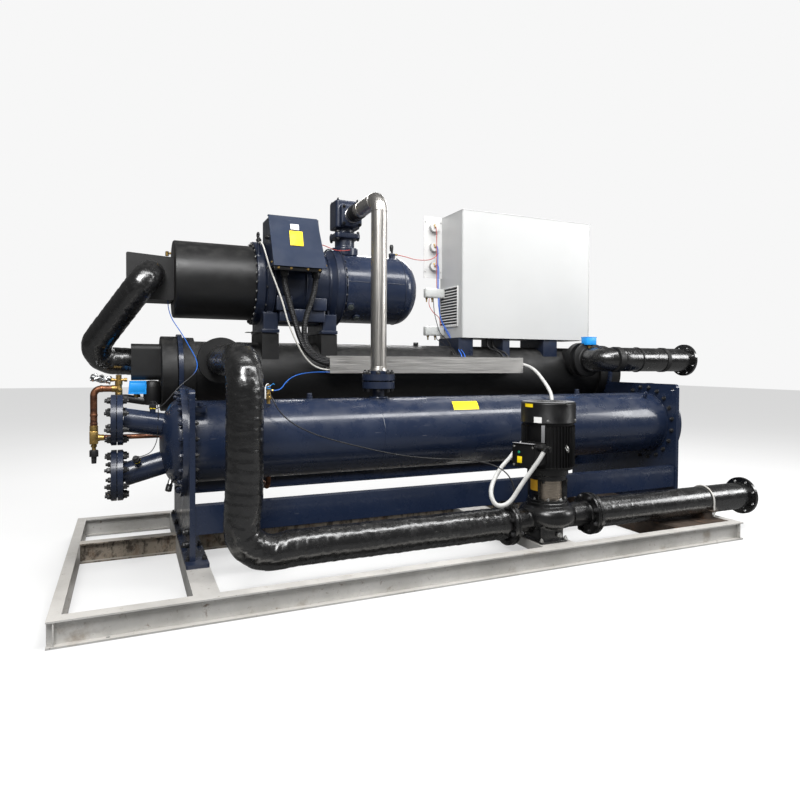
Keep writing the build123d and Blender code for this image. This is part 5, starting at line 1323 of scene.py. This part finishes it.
b.hexa((398, LY, 1050), (0, 0, 1), 44, 14)
b.make("expansion_valve_brass", "brass", "brass", ("expansion_valve",))
b = Build()
b.prism([(343, LY - 42, 1070), (460, LY - 42, 1070), (456, LY - 42, 1158), (351, LY - 42, 1158)], (0, 84, 0))
b.box((400, LY, 1114), (98, 88, 60), None, 6)
b.make("valve_actuator", "blue", "blue")
b = Build()
b.box((398, LY, 1034), (86, 44, 22), None, 4)
b.make("valve_coupling", "zinc")
b = Build()
b.tube(arc_path([(306, LY, 1040), (330, LY, 1040), (440, LY, 1020), (495, LY, 1020)], [30, 20], 8), 27, 20)
b.lathe((495, LY, 992), (0, 0, 1), [(0, 44), (4, 54), (12, 57), (120, 57), (150, 53), (164, 42), (168, 20)], 36)
b.make("valve_outlet_insulation", "foam", "insulation")
b = Build()
b.cyl((4080, 1210, 1428), (0, 0, 1), 15, 36, 20)
b.hexa((4080, 1210, 1440), (0, 0, 1), 40, 14)
b.make("flow_switch_neck", "brass", "brass", ("flow_switch",))
b = Build()
b.box((4080, 1210, 1494), (110, 74, 66), None, 6)
b.box((4080, 1210, 1528), (112, 76, 8), None, 2)
b.cyl((4136, 1210, 1480), (1, 0, 0), 12, 20, 18)
b.make("flow_switch_box", "blue", "blue")
# condenser fitting
b = Build()
b.cyl((1150, 760, 1030), (0, 0, 1), 12, 32, 18)
b.hexa((1150, 760, 1058), (0, 0, 1), 34, 26)
b.cyl((1150, 760, 1082), (0, 0, 1), 13.5, 20, 20)
b.box((1150, 751, 1090), (24, 20, 16), None, 2)
b.hexa((1170, 760, 1112), (1, 0, 0), 18, 10)
b.make("condenser_fitting_brass", "brass", "brass", ("condenser_fitting",))
# crumpled foil round the bulb below the suction pipe
b = Build()
b.lathe((112, 1500, 1182), (1, -0.1, -0.16), [(0, 0), (3, 10)] + [(10 + 7 * k, 24 + 7 * math.sin(k * 0.9)) for k in range(17)] + [(132, 12), (136, 0)], 40)
b.v = [Vector((v.x, v.y, 1170 + (v.z - 1170) * 0.8)) + Vector((noise.noise(v * 0.07), noise.noise(v * 0.07 + Vector((9, 0, 0))), noise.noise(v * 0.07 + Vector((0, 7, 0))))) * 16 for v in b.v]
b.make("bulb_foil", "foil", None, (), 14)
b = Build()
b.box((1172, 1392, 1506), (107, 90, 4), None, 1)
b.cyl((2567, 1600, 1428), (0, 0, 1), 22, 24, 20)
b.hexa((2567, 1600, 1450), (0, 0, 1), 36, 16)
b.make("small_fittings", "blackcast", "black")
b = Build()
b.box((732, 694, 1010), (66, 46, 40), None, 6)
b.cyl((732, 680, 1026), (0, 0, 1), 17, 26, 22, 2)
b.make("shell_vent", "navy2", "navy")


# ------------------------------------------------------------------ floor, light
def studio():
    fl = bpy.data.meshes.new("floor")
    fl.from_pydata([(-30, -30, -0.002), (30, -30, -0.002), (30, 30, -0.002), (-30, 30, -0.002)], [], [(0, 1, 2, 3)])
    o = bpy.data.objects.new("floor", fl)
    scene.collection.objects.link(o)
    s = Shade("pale_floor", (0.80, 0.80, 0.795), rough=0.6)
    s.paint(s.ramp(s.noise(1.2, 3), 0.4, 0.7), (0.78, 0.78, 0.775), 0.5)
    m = s.done()
    # the floor looks pale but throws little light back up
    nt = m.node_tree
    pr = [n for n in nt.nodes if n.type == "BSDF_PRINCIPLED"][0]
    dull = nt.nodes.new("ShaderNodeBsdfDiffuse")
    dull.inputs[0].default_value = (0.14, 0.14, 0.14, 1)
    ray = nt.nodes.new("ShaderNodeLightPath")
    mix = nt.nodes.new("ShaderNodeMixShader")
    haze = nt.nodes.new("ShaderNodeEmission")
    haze.inputs[0].default_value = (0.93, 0.93, 0.93, 1)
    half = nt.nodes.new("ShaderNodeMixShader")
    half.inputs[0].default_value = 0.55
    nt.links.new(pr.outputs[0], half.inputs[1])
    nt.links.new(haze.outputs[0], half.inputs[2])
    nt.links.new(ray.outputs["Is Camera Ray"], mix.inputs[0])
    nt.links.new(dull.outputs[0], mix.inputs[1])
    nt.links.new(half.outputs[0], mix.inputs[2])
    out = [n for n in nt.nodes if n.type == "OUTPUT_MATERIAL"][0]
    nt.links.new(mix.outputs[0], out.inputs[0])
    fl.materials.append(m)
    w = bpy.data.worlds.new("studio")
    scene.world = w
    w.use_nodes = True
    nt = w.node_tree
    bg = nt.nodes["Background"]
    bg.inputs[0].default_value = (1.0, 1.0, 1.0, 1)
    bg.inputs[1].default_value = 0.55
    seen = nt.nodes.new("ShaderNodeBackground")
    seen.inputs[0].default_value = (1.0, 1.0, 1.0, 1)
    seen.inputs[1].default_value = 0.93
    ray = nt.nodes.new("ShaderNodeLightPath")
    mix = nt.nodes.new("ShaderNodeMixShader")
    nt.links.new(ray.outputs["Is Camera Ray"], mix.inputs[0])
    shine = nt.nodes.new("ShaderNodeBackground")
    shine.inputs[0].default_value = (1.0, 1.0, 1.0, 1)
    shine.inputs[1].default_value = 0.13
    both = nt.nodes.new("ShaderNodeMixShader")
    nt.links.new(ray.outputs["Is Glossy Ray"], both.inputs[0])
    nt.links.new(bg.outputs[0], both.inputs[1])
    nt.links.new(shine.outputs[0], both.inputs[2])
    nt.links.new(both.outputs[0], mix.inputs[1])
    nt.links.new(seen.outputs[0], mix.inputs[2])
    nt.links.new(mix.outputs[0], nt.nodes["World Output"].inputs[0])

    def area(name, loc, target, size, power, colour=(1, 1, 1)):
        li = bpy.data.lights.new(name, "AREA")
        li.shape = "RECTANGLE"
        li.size, li.size_y = size
        li.energy = power
        li.color = colour
        ob = bpy.data.objects.new(name, li)
        scene.collection.objects.link(ob)
        ob.location = loc
        ob.rotation_mode = "QUATERNION"
        ob.rotation_quaternion = (Vector(target) - Vector(loc)).to_track_quat("-Z", "Y")
        return ob
    area("key", (-3.0, -5.0, 5.6), (0.0, 0.0, 1.0), (2.2, 2.2), 300)
    area("line", (0.6, -2.5, 5.0), (0.3, -0.4, 0.6), (8.0, 0.9), 290)
    soft = area("top", (0.3, 0.2, 5.8), (0.0, 0.2, 0.0), (6.0, 2.4), 260)
    soft.visible_glossy = False
    area("back", (2.5, 5.5, 4.6), (0.0, 0.0, 1.2), (4.0, 1.6), 200)
    area("right", (6.5, -3.5, 3.6), (0.5, 0.0, 1.0), (2.0, 2.0), 150)
    scene.view_settings.view_transform = "Standard"
    scene.view_settings.look = "None"


studio()
